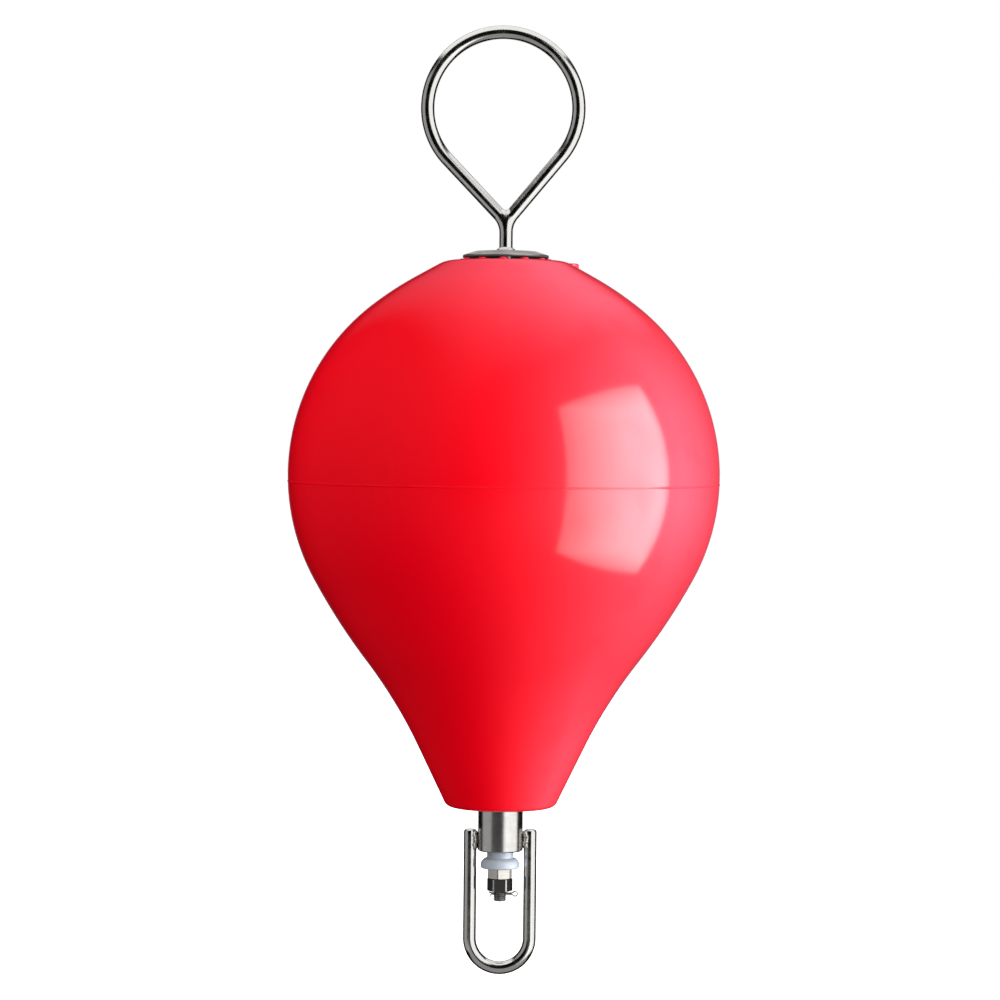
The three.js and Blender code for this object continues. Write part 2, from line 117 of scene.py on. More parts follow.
class Finish:
    """A node tree that ends in one shader, whose sockets take numbers, colours or values."""

    def __init__(self, owner, shader):
        owner.use_nodes = True
        self.owner = owner
        self.tree = owner.node_tree
        self.shader = self.tree.nodes[shader]

    def node(self, kind, settings=None, inputs=None, output=0):
        """A node of any kind: its settings first, then the numbers or links of its sockets."""
        made = self.tree.nodes.new(kind)
        for key, setting in (settings or {}).items():
            setattr(made, key, setting)
        for key, value in (inputs or {}).items():
            self.feed(made.inputs[key], value)
        return Value(self, made.outputs[output])

    def feed(self, socket, value):
        """Links a value to a socket, or sets the socket's own number or colour."""
        if isinstance(value, Value):
            self.tree.links.new(value.socket, socket)
        elif socket.type == "RGBA":
            socket.default_value = (*value, 1)
        else:
            socket.default_value = value

    def set(self, **sockets):
        """Sets the shader's sockets by name, with underscores for spaces, and hands over the owner."""
        for name, value in sockets.items():
            self.feed(self.shader.inputs[name.replace("_", " ")], value)
        return self.owner

    def noise(self, vector, scale, detail=3.0, roughness=0.5):
        """Smooth random values about one half. The scale counts bumps in one unit of the vector."""
        inputs = {"Vector": vector, "Scale": scale, "Detail": detail, "Roughness": roughness}
        return self.node("ShaderNodeTexNoise", inputs=inputs)

    def ramp(self, value, low, high):
        """Nought up to low, one from high on, and even in between."""
        inputs = {"Value": value, "From Min": low, "From Max": high}
        return self.node("ShaderNodeMapRange", {"clamp": True}, inputs)

    def mixed(self, share, first, second):
        """A colour between two."""
        inputs = {0: share, 6: first, 7: second}
        return self.node("ShaderNodeMix", {"data_type": "RGBA"}, inputs, output=2)

    def scaled(self, vector, scale):
        """A vector with each part multiplied by its own number."""
        return self.node("ShaderNodeMapping", inputs={"Vector": vector, "Scale": scale})

    def relief(self, height, depth, under=None):
        """A normal bent by a height from nought to one that stands for a depth in metres."""
        inputs = {"Height": height, "Distance": depth}
        if under:
            inputs["Normal"] = under
        return self.node("ShaderNodeBump", inputs=inputs)


def new_finish(name):
    """An empty finish for a piece."""
    return Finish(bpy.data.materials.new(name), "Principled BSDF")


# %% [markdown]
# ## The studio
#
# The steel tells what stood round it: a large softbox at the right, a grey panel at the left and darkness
# elsewhere, with the picture cut out on pure white. So the world is white where a camera, glossy or
# transmitted ray meets it, and black for the rest. A room that the camera doesn't see stands in front of
# that white, as black cards do in a studio, and area lamps are the panels in it.
#
# The floor is there for the camera and for the shadow. It glows a little near the buoy, so that its lit
# part is white and the shadow still shows, and more farther off, where it runs into the background.

# %% Studio
world = Finish(bpy.data.worlds.new("studio"), "Background")
bpy.context.scene.world = world.owner
camera_ray, glossy_ray, transmitted_ray = (
    world.node("ShaderNodeLightPath", output=f"Is {ray} Ray")
    for ray in ("Camera", "Glossy", "Transmission"))
white_share = world.ramp(camera_ray + glossy_ray + transmitted_ray, 0, 1)
world.set(Color=world.mixed(white_share, (0, 0, 0), (1, 1, 1)), Strength=1.0)


def stage_mesh(name, corners, faces, finish):
    """A part of the studio from its corners in metres."""
    mesh = bpy.data.meshes.new(name)
    mesh.from_pydata(corners, [], faces)
    mesh.materials.append(finish)
    piece = bpy.data.objects.new(name, mesh)
    bpy.context.scene.collection.objects.link(piece)
    return piece


floor_height, floor_reach = -0.42, 40.0
floor_finish = new_finish("floor_white")
for_camera = floor_finish.node("ShaderNodeLightPath", output="Is Camera Ray")
floor_place = floor_finish.node("ShaderNodeTexCoord", output="Object")
distance = floor_finish.node(
    "ShaderNodeVectorMath", {"operation": "LENGTH"}, {0: floor_place}, output="Value")
glow_share = for_camera * (0.2 + floor_finish.ramp(distance, 1.0, 4.0) * 0.8)
glow = floor_finish.mixed(glow_share, (0, 0, 0), (1, 1, 1))
floor_finish.set(Base_Color=(0.9, 0.9, 0.9), Roughness=0.9, Emission_Color=glow, Emission_Strength=1.0)
floor_corners = [
    (x * floor_reach, y * floor_reach, floor_height) for x, y in ((-1, -1), (1, -1), (1, 1), (-1, 1))]
floor = stage_mesh("floor", floor_corners, [(0, 1, 2, 3)], floor_finish.owner)
floor.visible_diffuse = floor.visible_glossy = False
print("floor at", floor_height, "m, reaching", floor_reach, "m")

# %% [markdown]
# The room round the buoy is a large ball. In reflections it is dark at the left and in front, glows
# softly towards the right, where the softbox lights its wall, and gets lighter overhead, where a pale
# ceiling is. Straight behind the buoy it is pale too, as the backdrop was, so the float's rim isn't dark.
# As light on the dull parts it is brightest high up at the left, and low in front where the paper lies.

# %% Room
room_radius, room_rows, room_columns = 7.0, 25, 48


def room_finish():
    """Two looks of one wall, with x, y and z as parts of the direction from the middle of the ball.

    In reflections: the larger of a right wall, 1.9 * ((x + 0.5) / 1.5) ** 2.6, and a ceiling, 0.95 +
    1.1 y, plus the pale backdrop near y = 1. As light: 1.65 (0.8 z - 0.6 x) from high at the left, 1.45
    (0.55 x - y) / 1.2 from low in front, and a little from behind. The reflections are a little blue,
    as the photograph's are. The colour is a quarter of the radiance of a tint four times as bright.
    """
    finish = new_finish("studio_room")
    place = finish.node("ShaderNodeTexCoord", output="Object")
    x, y, z = (finish.node("ShaderNodeSeparateXYZ", inputs={0: place}, output=axis) * (1 / room_radius)
               for axis in range(3))
    to_right = finish.ramp(x, -0.5, 1.0)
    wall = finish.node("ShaderNodeMath", {"operation": "POWER"}, {0: to_right, 1: 2.6}) * 1.9
    wall = wall * (1.1 - finish.ramp(y, 0.3, 0.9) * 0.75) * (1 - finish.ramp(z, -0.1, -0.6) * 0.35)
    ceiling = (y * 1.1 + 0.95) * finish.ramp(z, 0.35, 1.0) * finish.ramp(x, -0.5, 0.35) * 0.95
    backdrop = finish.ramp(y, 0.96, 1) * 0.35
    mirrored = finish.node("ShaderNodeMath", {"operation": "MAXIMUM"}, {0: wall, 1: ceiling}) + backdrop
    from_above = finish.ramp(z * 0.8 - x * 0.6, 0, 1) * 1.65
    from_below = finish.ramp(z, 0, -0.25) * finish.ramp(x * 0.55 - y, 0, 1.2) * 1.45
    lighting = from_above + from_below + finish.ramp(y, 0.1, 1) * 0.9
    in_gloss = finish.node("ShaderNodeLightPath", output="Is Glossy Ray")
    radiance = lighting + (mirrored - lighting) * in_gloss
    tint = finish.mixed(in_gloss, (4, 4, 4), (4, 4, 5.6))
    finish.set(Base_Color=(0, 0, 0), Roughness=1.0, Specular_IOR_Level=0.0, Emission_Strength=1.0,
               Emission_Color=finish.mixed(radiance * 0.25, (0, 0, 0), tint))
    finish.owner.cycles.emission_sampling = "NONE"
    return finish.owner


def room_ball():
    """Corners and faces of the ball: (cos rise cos turn, cos rise sin turn, sin rise) times its radius."""
    rise = np.linspace(-math.pi / 2 + 0.02, math.pi / 2 - 0.02, room_rows)[:, None]
    turn = TURN * np.arange(room_columns) / room_columns
    directions = [np.cos(rise) * np.cos(turn), np.cos(rise) * np.sin(turn), np.sin(rise) + 0 * turn]
    corners = room_radius * np.stack(directions, axis=-1).reshape(-1, 3)
    i, j = np.meshgrid(np.arange(room_rows - 1), np.arange(room_columns), indexing="ij")
    low, high, side = i * room_columns, (i + 1) * room_columns, (j + 1) % room_columns
    faces = np.stack([low + j, high + j, high + side, low + side], axis=-1).reshape(-1, 4)
    return corners.tolist(), faces.tolist()


room = stage_mesh("dark_room", *room_ball(), room_finish())
room.visible_camera = room.visible_shadow = False
world.owner.cycles.sampling_method = "NONE"
print("room faces:", len(room.data.polygons))

# %% [markdown]
# The softbox is the main lamp and the bright window in the skin of the float. It would burn the steel
# out, which mirrors everything, so a lamp lights either the dull pieces or the steel. The steel has
# panels of its own: bright at the right and overhead, grey at the left, pale paper low in front, and a
# soft one behind, for whoever walks round the buoy.
#
# The window isn't even in the photograph: its heart is at the right, and it fades towards its edges. So
# the softbox's mirror image comes from six smaller and smaller panels that only reflections show. Each
# stands 2 cm before the last and farther to the right, so that a mirrored ray meets them one by one.

# %% Lamps
steel_pieces = bpy.data.collections.new("steel_pieces")
dull_pieces = bpy.data.collections.new("dull_pieces")
dull_pieces.objects.link(floor)
buoy_middle = Vector((0, 0, 0.38))


def panel(name, only, place, width, height, radiance):
    """A rectangular lamp for some pieces only, at a place in metres, that faces the buoy's middle."""
    away = (Vector(place) - buoy_middle).normalized()
    data = bpy.data.lights.new(name, "AREA")
    data.shape = "RECTANGLE"
    data.size, data.size_y = width, height
    data.energy = radiance * math.pi * width * height
    lamp = bpy.data.objects.new(name, data)
    facing = away.to_track_quat("Z", "Y").to_matrix().to_4x4()
    lamp.matrix_world = Matrix.Translation(Vector(place)) @ facing
    lamp.visible_camera = False
    lamp.light_linking.receiver_collection = only
    bpy.context.scene.collection.objects.link(lamp)
    return lamp


panel("softbox", dull_pieces, (1.32, -0.70, 0.37), 1.75, 2.4, 4.5).visible_glossy = False
for layer in range(6):
    place = (1.302 + 0.013 * layer, -0.691 + 0.0675 * layer, 0.37)
    width, height = 1.75 - 0.23 * layer, 2.4 - 0.16 * layer
    radiance = 0.7 if layer else 1.9
    window = panel(f"softbox_window_{layer}", dull_pieces, place, width, height, radiance)
    window.visible_diffuse = False
panel("right_panel", steel_pieces, (1.24, -0.84, 0.37), 2.35, 2.6, 1.6)
panel("left_panel", steel_pieces, (-1.92, -0.57, 0.38), 2.15, 3.0, 0.5)
panel("ceiling_panel", steel_pieces, (0.0, 0.05, 2.4), 3.6, 3.8, 1.5)
panel("paper_panel", steel_pieces, (0.0, -1.2, -1.3), 4.0, 3.0, 0.42)
panel("back_panel", steel_pieces, (0.0, 2.4, 0.5), 2.6, 2.6, 0.8)
room.light_linking.receiver_collection = dull_pieces

# %% [markdown]
# ## Surfaces from formulas
#
# Every new piece is a grid of points: rows run along a profile or a bar, and columns run round it. One
# cell of the grid becomes one face, and whole arrays are worked out at once. Normals are the sum of the
# faces round each point, weighted by area, so that large flats stay flat beside their small fillets.

# %% From grids to pieces


def grid_faces(rows, columns, loop):
    """Four corners for each cell of a grid that closes round: point (i, j) is i * columns + j."""
    last = rows if loop else rows - 1
    i, j = np.meshgrid(np.arange(last), np.arange(columns), indexing="ij")
    up, side = (i + 1) % rows, (j + 1) % columns
    corners = [i * columns + j, i * columns + side, up * columns + side, up * columns + j]
    return np.stack(corners, axis=-1).reshape(-1, 4)


def closed_grid(grid, loop=False):
    """A grid as (points, quads, triangles): its rows close in a loop, or its two ends get a fan each."""
    rows, columns = grid.shape[:2]
    points = grid.reshape(-1, 3)
    quads = grid_faces(rows, columns, loop)
    if loop:
        return points, quads, np.zeros((0, 3), int)
    middles = np.array([grid[0].mean(axis=0), grid[-1].mean(axis=0)])
    j = np.arange(columns)
    side = (j + 1) % columns
    top = (rows - 1) * columns
    first = np.stack([side, j, 0 * j + len(points)], axis=-1)
    last = np.stack([top + j, top + side, 0 * j + len(points) + 1], axis=-1)
    return np.concatenate([points, middles]), quads, np.concatenate([first, last])


def joined(*shells):
    """Several closed shells as one set of points, quads and triangles."""
    starts = np.cumsum([0] + [len(points) for points, _, _ in shells])
    points = np.concatenate([shell[0] for shell in shells])
    quads = np.concatenate([shell[1] + start for shell, start in zip(shells, starts)])
    triangles = np.concatenate([shell[2] + start for shell, start in zip(shells, starts)])
    return points, quads, triangles


def area_normals(points, quads, triangles):
    """Point normals: the sum of the area vectors of the faces round each point."""
    normals = np.zeros_like(points)
    for faces, a, b, c, d in ((quads, 0, 2, 1, 3), (triangles, 0, 1, 0, 2)):
        first = points[faces[:, b]] - points[faces[:, a]]
        second = points[faces[:, d]] - points[faces[:, c]]
        area = np.cross(first, second)
        for corner in range(faces.shape[1]):
            np.add.at(normals, faces[:, corner], area)
    return normals / np.maximum(np.linalg.norm(normals, axis=1, keepdims=True), 1e-12)


def mesh_of(name, points, quads, triangles, normals=None):
    """A smooth mesh in metres from arrays in millimetres, with its point normals."""
    corners = np.concatenate([quads.ravel(), triangles.ravel()])
    sides = np.concatenate([np.full(len(quads), 4), np.full(len(triangles), 3)])
    mesh = bpy.data.meshes.new(name)
    mesh.vertices.add(len(points))
    mesh.vertices.foreach_set("co", (points * MM).ravel())
    mesh.loops.add(len(corners))
    mesh.loops.foreach_set("vertex_index", corners)
    mesh.polygons.add(len(sides))
    mesh.polygons.foreach_set("loop_start", np.concatenate([[0], np.cumsum(sides)[:-1]]))
    mesh.update(calc_edges=True)
    mesh.shade_smooth()
    if normals is None:
        normals = area_normals(points, quads, triangles)
    mesh.normals_split_custom_set_from_vertices(normals)
    return mesh


def keep(mesh, name, numbers):
    """Keeps a number or a vector for each point, which a finish reads by name."""
    kind, key = ("FLOAT", "value") if numbers.ndim == 1 else ("FLOAT_VECTOR", "vector")
    mesh.attributes.new(name, kind, "POINT").data.foreach_set(key, numbers.ravel())


def dress(mesh, body, node, slot, finish):
    """Puts a mesh in the place of a solid: it rides on the solid's body and takes a finish."""
    piece = bpy.data.objects.new(mesh.name, mesh)
    bpy.context.scene.collection.objects.link(piece)
    mesh.materials.append(finish)
    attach(piece, body)
    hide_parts(node)
    (steel_pieces if slot.endswith("stainless") else dull_pieces).objects.link(piece)
    print(mesh.name, "has", len(mesh.loops) - 2 * len(mesh.polygons), "triangles")
    return piece


def smooth_step(low, high, values):
    """Nought below low, one above high, with level ends: 3t² - 2t³."""
    t = np.clip((values - low) / (high - low), 0, 1)
    return t * t * (3 - 2 * t)


# %% [markdown]
# ## The float's outline
#
# The real float is moulded vinyl. Its outline is a belly with a slower shoulder above it and a hollow
# flank below, which all run into each other without a corner. Five arcs that touch each other give just
# that, and they need few numbers: their radii and the angles where they meet.

# %% Float outline
float_bottom, recess_ceiling, crown_top = 124.1, 135.8, 559.0
belly_radius, flank_radius, hollow_radius, shoulder_radius = 171.7, 504.9, 392.4, 270.0
belly_centre = np.array([0, float_bottom + 263.5])
neck_radius, neck_slope, neck_corner = 43.3, math.radians(25.7), 7.0
flank_angle, shoulder_angle, edge_angle, crown_edge = -28.6, 52, 61, 26.0
recess_radius, recess_edge, tube_bore = 20.0, 0.8, 6.2


def direction_of(angle):
    """The unit direction at an angle in degrees, from the radius towards up."""
    return np.array([math.cos(math.radians(angle)), math.sin(math.radians(angle))])


def arc(centre, radius, start, end, step):
    """Points on an arc, about a step apart, from one angle in degrees up to just short of the other."""
    count = max(2, round(abs(math.radians(end - start)) * radius / step))
    angle = np.radians(start + (end - start) * np.arange(count) / count)
    return centre + radius * np.stack([np.cos(angle), np.sin(angle)], axis=-1)


def line(start, end, step):
    """Points on a straight line, about a step apart, from one end up to just short of the other."""
    start, end = np.asarray(start, float), np.asarray(end, float)
    count = max(1, round(np.linalg.norm(end - start) / step))
    return start + (end - start) * np.arange(count)[:, None] / count


def float_profile():
    """The closed outline (radius, height): recess, foot, hollow, flank, belly, shoulder, crown and bore.

    Two arcs touch when their centres lie on one line with the point where they meet, so each centre is
    the last one moved by the difference of the radii, or by their sum where the curve turns hollow.
    The points lie closest on the parting line, where the flash is, and on the crown, where the ribs are.
    """
    flank = belly_centre + (belly_radius - flank_radius) * direction_of(flank_angle)
    along = np.array([math.sin(neck_slope), math.cos(neck_slope)])
    outwards = np.array([math.cos(neck_slope), -math.sin(neck_slope)])
    hollow = np.array([neck_radius, float_bottom]) + outwards * hollow_radius
    apart = hollow - flank
    back = apart @ along
    spare = back ** 2 + (flank_radius + hollow_radius) ** 2 - apart @ apart
    hollow = hollow - along * (back + math.sqrt(spare))
    flank_end = math.degrees(math.atan2((hollow - flank)[1], (hollow - flank)[0]))
    corner = np.array([
        neck_radius + neck_corner * math.tan(neck_slope) - neck_corner / math.cos(neck_slope),
        float_bottom + neck_corner])

    shoulder = belly_centre + (belly_radius - shoulder_radius) * direction_of(shoulder_angle)
    edge_height = crown_top - crown_edge
    from_upright = math.radians(90 - edge_angle)
    reach = shoulder_radius - crown_edge - (edge_height - shoulder[1]) * math.cos(from_upright)
    edge = np.array([shoulder[0] + reach / math.sin(from_upright), edge_height])
    edge_start = edge + crown_edge * direction_of(edge_angle)

    slope = math.degrees(neck_slope)
    return np.concatenate([
        line((tube_bore, recess_ceiling), (recess_radius, recess_ceiling), 2.3),
        line((recess_radius, recess_ceiling), (recess_radius, float_bottom + recess_edge), 2.0),
        arc(np.array([recess_radius, float_bottom]) + recess_edge, recess_edge, 180, 270, 0.3),
        line((recess_radius + recess_edge, float_bottom), (corner[0], float_bottom), 1.5),
        arc(corner, neck_corner, -90, -slope, 0.7),
        arc(hollow, hollow_radius, 180 - slope, 180 + flank_end, 2.4),
        arc(flank, flank_radius, flank_end, flank_angle, 2.4),
        arc(belly_centre, belly_radius, flank_angle, -2.6, 2.4),
        arc(belly_centre, belly_radius, -2.6, -0.9, 0.28),
        arc(belly_centre, belly_radius, -0.9, shoulder_angle, 2.4),
        arc(shoulder, shoulder_radius, shoulder_angle, 57, 2.4),
        arc(shoulder, shoulder_radius, 57, edge_angle, 1.0),
        line(shoulder + shoulder_radius * direction_of(edge_angle), edge_start, 0.7),
        arc(edge, crown_edge, edge_angle, 90, 0.8),
        line((edge[0], crown_top), (38, crown_top), 0.6),
        line((38, crown_top), (32, crown_top), 0.45),
        line((32, crown_top), (tube_bore, crown_top), 2.0),
        line((tube_bore, crown_top), (tube_bore, recess_ceiling), 40),
    ])


float_outline = float_profile()
widest = round(float_outline[:, 0].max(), 2)
print("float outline:", len(float_outline), "points, widest radius", widest, "mm")


def revolved(profile, columns, middle=(0, 0)):
    """The grid of a profile carried round an upright axis: x = r cos, y = r sin, z = height."""
    angle = TURN * np.arange(columns) / columns
    profile = np.asarray(profile, float)
    r, z = profile[:, :1], profile[:, 1:]
    x, y = middle[0] + r * np.cos(angle), middle[1] + r * np.sin(angle)
    return np.stack([x, y, z + 0 * angle], axis=-1)


# %% [markdown]
# ## The float's details
#
# Twelve ribs on the crown carry the steel plate, and the mould's two halves left a thin line of flash
# round the belly. Both are small heights added to the revolved surface. The valve's boss is a ring of its
# own whose foot follows the crown, and the crown dips out of sight inside that ring, where the socket is.

# %% Float surface
rib_count, rib_turn, rib_height, rib_half_width = 12, math.radians(86.7), 1.4, 3.5
rib_start, rib_end = 14.0, 33.0
parting_height, flash_height, flash_width = belly_centre[1] - 5.2, 0.42, 0.55
valve_turn = math.radians(20)
valve_place = 52.0 * np.array([math.cos(valve_turn), math.sin(valve_turn)])
boss_radius, boss_top, boss_foot, boss_edge = 9.6, 557.8, 2.0, 1.5
socket_radius, socket_floor, socket_bore, socket_end = 7.4, 553.2, 5.6, 543
well_radius, well_depth = 8.0, 538.0


def rib_relief(x, y):
    """Height of the ribs: full within half a rib's width of its spine, with a round edge 0.9 mm wide."""
    share = TURN / rib_count
    turn = (np.arctan2(y, x) - rib_turn + share / 2) % share - share / 2
    reach = np.hypot(x, y)
    along, across = reach * np.cos(turn), reach * np.sin(turn)
    beyond = along - np.clip(along, rib_start, rib_end)
    return rib_height * smooth_step(0.35, -0.55, np.hypot(beyond, across) - rib_half_width)


def crown_height(x, y):
    """Height of the bare crown and shoulder: the outline's upper part, read at the point's radius."""
    upper = float_outline[(float_outline[:, 1] > 500) & (float_outline[:, 0] > tube_bore)]
    order = np.argsort(upper[:, 0])
    return np.interp(np.hypot(x, y), upper[order, 0], upper[order, 1])


def landing(x, y, z):
    """The crown made level for the boss: no higher than half a millimetre below the boss's face."""
    apart = np.hypot(x - valve_place[0], y - valve_place[1])
    return z - smooth_step(17, 11.5, apart) * np.maximum(z - (boss_top - 0.5), 0)


def float_grid():
    """The outline carried round, plus flash, ribs, the landing and the well under the valve.

    The flash is a bell curve of the height above the parting line. Points close to the valve's middle
    go down into the well. Those near its edge are first moved onto it, so that its wall is upright.
    """
    grid = revolved(float_outline, 384)
    x, y, z = grid[..., 0].copy(), grid[..., 1].copy(), grid[..., 2].copy()
    reach = np.hypot(x, y)
    flash = flash_height * np.exp(-((z - parting_height) / flash_width) ** 2) * (reach > 150)
    grid[..., :2] *= (1 + flash / reach)[..., None]
    crown = (z > 520) & (reach > tube_bore + 0.1)
    ribbed = np.where(crown & (reach < 40), z + rib_relief(x, y), z)
    grid[..., 2] = np.where(crown, landing(x, y, ribbed), ribbed)
    off = np.stack([x, y], axis=-1) - valve_place
    apart = np.linalg.norm(off, axis=-1)
    well = crown & (apart < 8.5)
    stretch = np.where(apart > 6.6, well_radius, apart) / np.maximum(apart, 1e-6)
    grid[..., :2] = np.where(well[..., None], valve_place + off * stretch[..., None], grid[..., :2])
    grid[..., 2] = np.where(well, well_depth, grid[..., 2])
    return grid


def boss_shell(columns=144):
    """The boss: a fillet from the crown, the wall, a rounded edge, the level face and the socket.

    The fillet's points stand on the crown: their height is the crown's height at that place plus
    2 mm times (1 - cos t), at the boss's radius plus 2 mm times (1 - sin t).
    """
    angle = TURN * np.arange(columns) / columns
    t = np.linspace(0, math.pi / 2, 8)[:, None]
    foot_radius = boss_radius + boss_foot * (1 - np.sin(t)) + 0 * angle
    x = valve_place[0] + foot_radius * np.cos(angle)
    y = valve_place[1] + foot_radius * np.sin(angle)
    ground = landing(x, y, crown_height(x, y))
    rise = np.clip(boss_top - boss_edge - 0.1 - ground, 0.05, boss_foot)
    foot = np.minimum(ground - 0.15 + rise * (1 - np.cos(t)), boss_top - boss_edge)
    rest = np.concatenate([
        arc(np.array([boss_radius, boss_top]) - boss_edge, boss_edge, 0, 90, 0.3),
        line((boss_radius - boss_edge, boss_top), (socket_radius + 0.3, boss_top), 0.3),
        arc(np.array([socket_radius + 0.3, boss_top - 0.3]), 0.3, 90, 180, 0.12),
        line((socket_radius, boss_top - 0.3), (socket_radius, socket_floor), 1.0),
        line((socket_radius, socket_floor), (socket_bore, socket_floor), 0.6),
        line((socket_bore, socket_floor), (socket_bore, socket_end), 5.0),
        line((socket_bore, socket_end), (boss_radius + boss_foot, socket_end), 3.0),
        [(boss_radius + boss_foot, socket_end)],
    ])
    upper = np.stack([x, y, foot], axis=-1)
    return closed_grid(np.concatenate([upper, revolved(rest, columns, valve_place)]), loop=True)


float_shell = joined(closed_grid(float_grid(), loop=True), boss_shell())
print("float points:", len(float_shell[0]))

# %% [markdown]
# ## Red vinyl
#
# Plasticised vinyl is deep, even red under a smooth skin. The moulding leaves slow waves, which soften
# the edge of the softbox's reflection, and a very fine orange peel. Handling leaves faint dull patches.
# A clear coat stands for the wet-looking skin, and does all of the mirroring. The steel in the
# photograph shows no red and the crown shows no ring, so the float and later the eye rod are left out of
# reflections.

# %% Red vinyl


def red_vinyl():
    """Deep red with cloudy differences, slow waves, fine peel and dull patches."""
    finish = new_finish("red_vinyl")
    place = finish.node("ShaderNodeTexCoord", output="Object")
    cloud = finish.noise(place, 7.0, detail=2.0)
    dull = finish.ramp(finish.noise(place, 26.0, detail=5.0, roughness=0.62), 0.52, 0.72)
    speck = finish.ramp(finish.noise(place, 420.0, detail=2.0), 0.66, 0.74)
    colour = finish.mixed(cloud, (0.81, 0.0003, 0.007), (0.87, 0.0006, 0.010))
    waves = finish.relief(finish.noise(place, 11.0, detail=1.0), 0.0009)
    peel = finish.relief(finish.noise(place, 520.0, detail=1.0), 0.00001, under=waves)
    return finish.set(
        Base_Color=colour, Roughness=0.4 + dull * 0.1 + speck * 0.1, Normal=peel, Specular_IOR_Level=0.0,
        Coat_Weight=1 - dull * 0.15 - speck * 0.2, Coat_Roughness=0.11, Coat_IOR=1.66)


vinyl = red_vinyl()
float_piece = dress(mesh_of("float", *float_shell), "buoy", "float_shell", "red_vinyl", vinyl)
float_piece.visible_glossy = False

# %% [markdown]
# ## Stainless steel, polished
#
# The ring and the bail are bent from drawn bar and polished by hand. Polishing leaves streaks along the
# bar and faint scratches across it. The pattern is stretched along the bar, so it reads a place that each
# piece keeps for its points: the length along the bar, and two coordinates across it.

# %% Polished steel


def polished_steel():
    """Bright steel streaked along the bar, and duller with heat colours where a weld is kept."""
    finish = new_finish("polished_stainless")
    along = finish.node("ShaderNodeAttribute", {"attribute_name": "grain"}, output="Vector")
    weld = finish.node("ShaderNodeAttribute", {"attribute_name": "weld"}, output="Fac")
    streaks = finish.noise(finish.scaled(along, (0.05, 1.6, 1.6)), 1.0, detail=4.0)
    scratches = finish.noise(finish.scaled(along, (5.0, 0.4, 0.4)), 1.0)
    smears = finish.noise(finish.scaled(along, (0.12, 0.12, 0.12)), 1.0)
    ripples = finish.noise(finish.scaled(along, (1.1, 0.5, 0.5)), 1.0, detail=2.0)
    colour = finish.mixed(smears, (0.50, 0.488, 0.47), (0.60, 0.59, 0.57))
    colour = finish.mixed(weld * 0.6, colour, (0.52, 0.49, 0.45))
    relief = finish.relief(streaks * 0.7 + scratches * 0.3, 0.000004)
    relief = finish.relief(weld * ripples, 0.00035, under=relief)
    rough = 0.13 + finish.ramp(smears, 0.45, 0.75) * 0.09 + streaks * 0.05 + weld * 0.10
    return finish.set(Base_Color=colour, Metallic=1.0, Roughness=rough, Normal=relief)


steel = polished_steel()

# %% [markdown]
# ## The pickup ring
#
# The ring, its two legs and the stem are one bar and a weld. Two tubes that cross would show a hard seam
# where the real weld is a smooth saddle. So the bars are first joined roughly by a voxel remesh, and each
# point is then moved onto a formula: the distance to the right-hand path blended with the distance to
# the left-hand path, with a round of 4 mm in the crotch and none elsewhere.

# %% Ring formula
bar_radius = 5.4
plate_top = 566.3
leg_meeting = plate_top + 23.2
ring_radius, ring_rise, ring_lean = 60.0, 90.3, math.radians(2)
half_angle = math.asin(ring_radius / ring_rise)
leg_bend_radius = 21.4
bead_radius, bead_offset = 1.7, 0.5


def leaned(places):
    """Points (u, v) of the upright loop as (x, z): turned about the meeting point by the lean."""
    u, v = np.asarray(places, float).T
    x = u * math.cos(ring_lean) - v * math.sin(ring_lean)
    return np.stack([x, leg_meeting + u * math.sin(ring_lean) + v * math.cos(ring_lean)], axis=-1)


def ring_stretches(side):
    """Half of the bar's centreline: the stem, one bend, one leg and half of the ring's arc.

    A straight stretch is (start, end), and a bent one is (centre, radius, first angle, last angle).
    """
    turn = half_angle - side * ring_lean
    foot = leg_bend_radius * math.tan(turn / 2)
    leg_end = ring_radius / math.tan(half_angle)
    leg_way = np.array([side * math.sin(half_angle), math.cos(half_angle)])
    leg = leaned([foot * leg_way, leg_end * leg_way])
    bend_centre = np.array([side * leg_bend_radius, leg_meeting - foot])
    from_angle = math.pi * (1 + side) / 2
    ring_centre = leaned([[0, ring_rise]])[0]
    side_angle = math.pi * (1 - side) / 2 + ring_lean
    return [
        (np.array([0, plate_top - 9]), np.array([0, leg_meeting - foot])),
        (bend_centre, leg_bend_radius, from_angle, from_angle - side * turn),
        (leg[0], leg[1]),
        (ring_centre, ring_radius, side_angle - side * half_angle, math.pi / 2 + ring_lean),
    ]


def stretch_length(stretch):
    """A straight stretch's own length, or radius times angle."""
    if len(stretch) == 2:
        return np.linalg.norm(stretch[1] - stretch[0])
    return stretch[1] * abs(stretch[3] - stretch[2])


def stretch_points(stretch, share):
    """Points in (x, z) at shares of a stretch from nought to one."""
    if len(stretch) == 2:
        return stretch[0] + (stretch[1] - stretch[0]) * share[:, None]
    centre, radius, first, last = stretch
    angle = first + (last - first) * share
    return centre + radius * np.stack([np.cos(angle), np.sin(angle)], axis=-1)


def nearest_share(stretch, flat):
    """The share of a stretch that lies nearest to each point in (x, z)."""
    if len(stretch) == 2:
        start, step = stretch[0], stretch[1] - stretch[0]
        return np.clip((flat - start) @ step / (step @ step), 0, 1)
    centre, _, first, last = stretch
    angle = np.arctan2(flat[:, 1] - centre[1], flat[:, 0] - centre[0])
    middle, sweep = (first + last) / 2, last - first
    return np.clip(((angle - middle + math.pi) % TURN - math.pi) / sweep + 0.5, 0, 1)


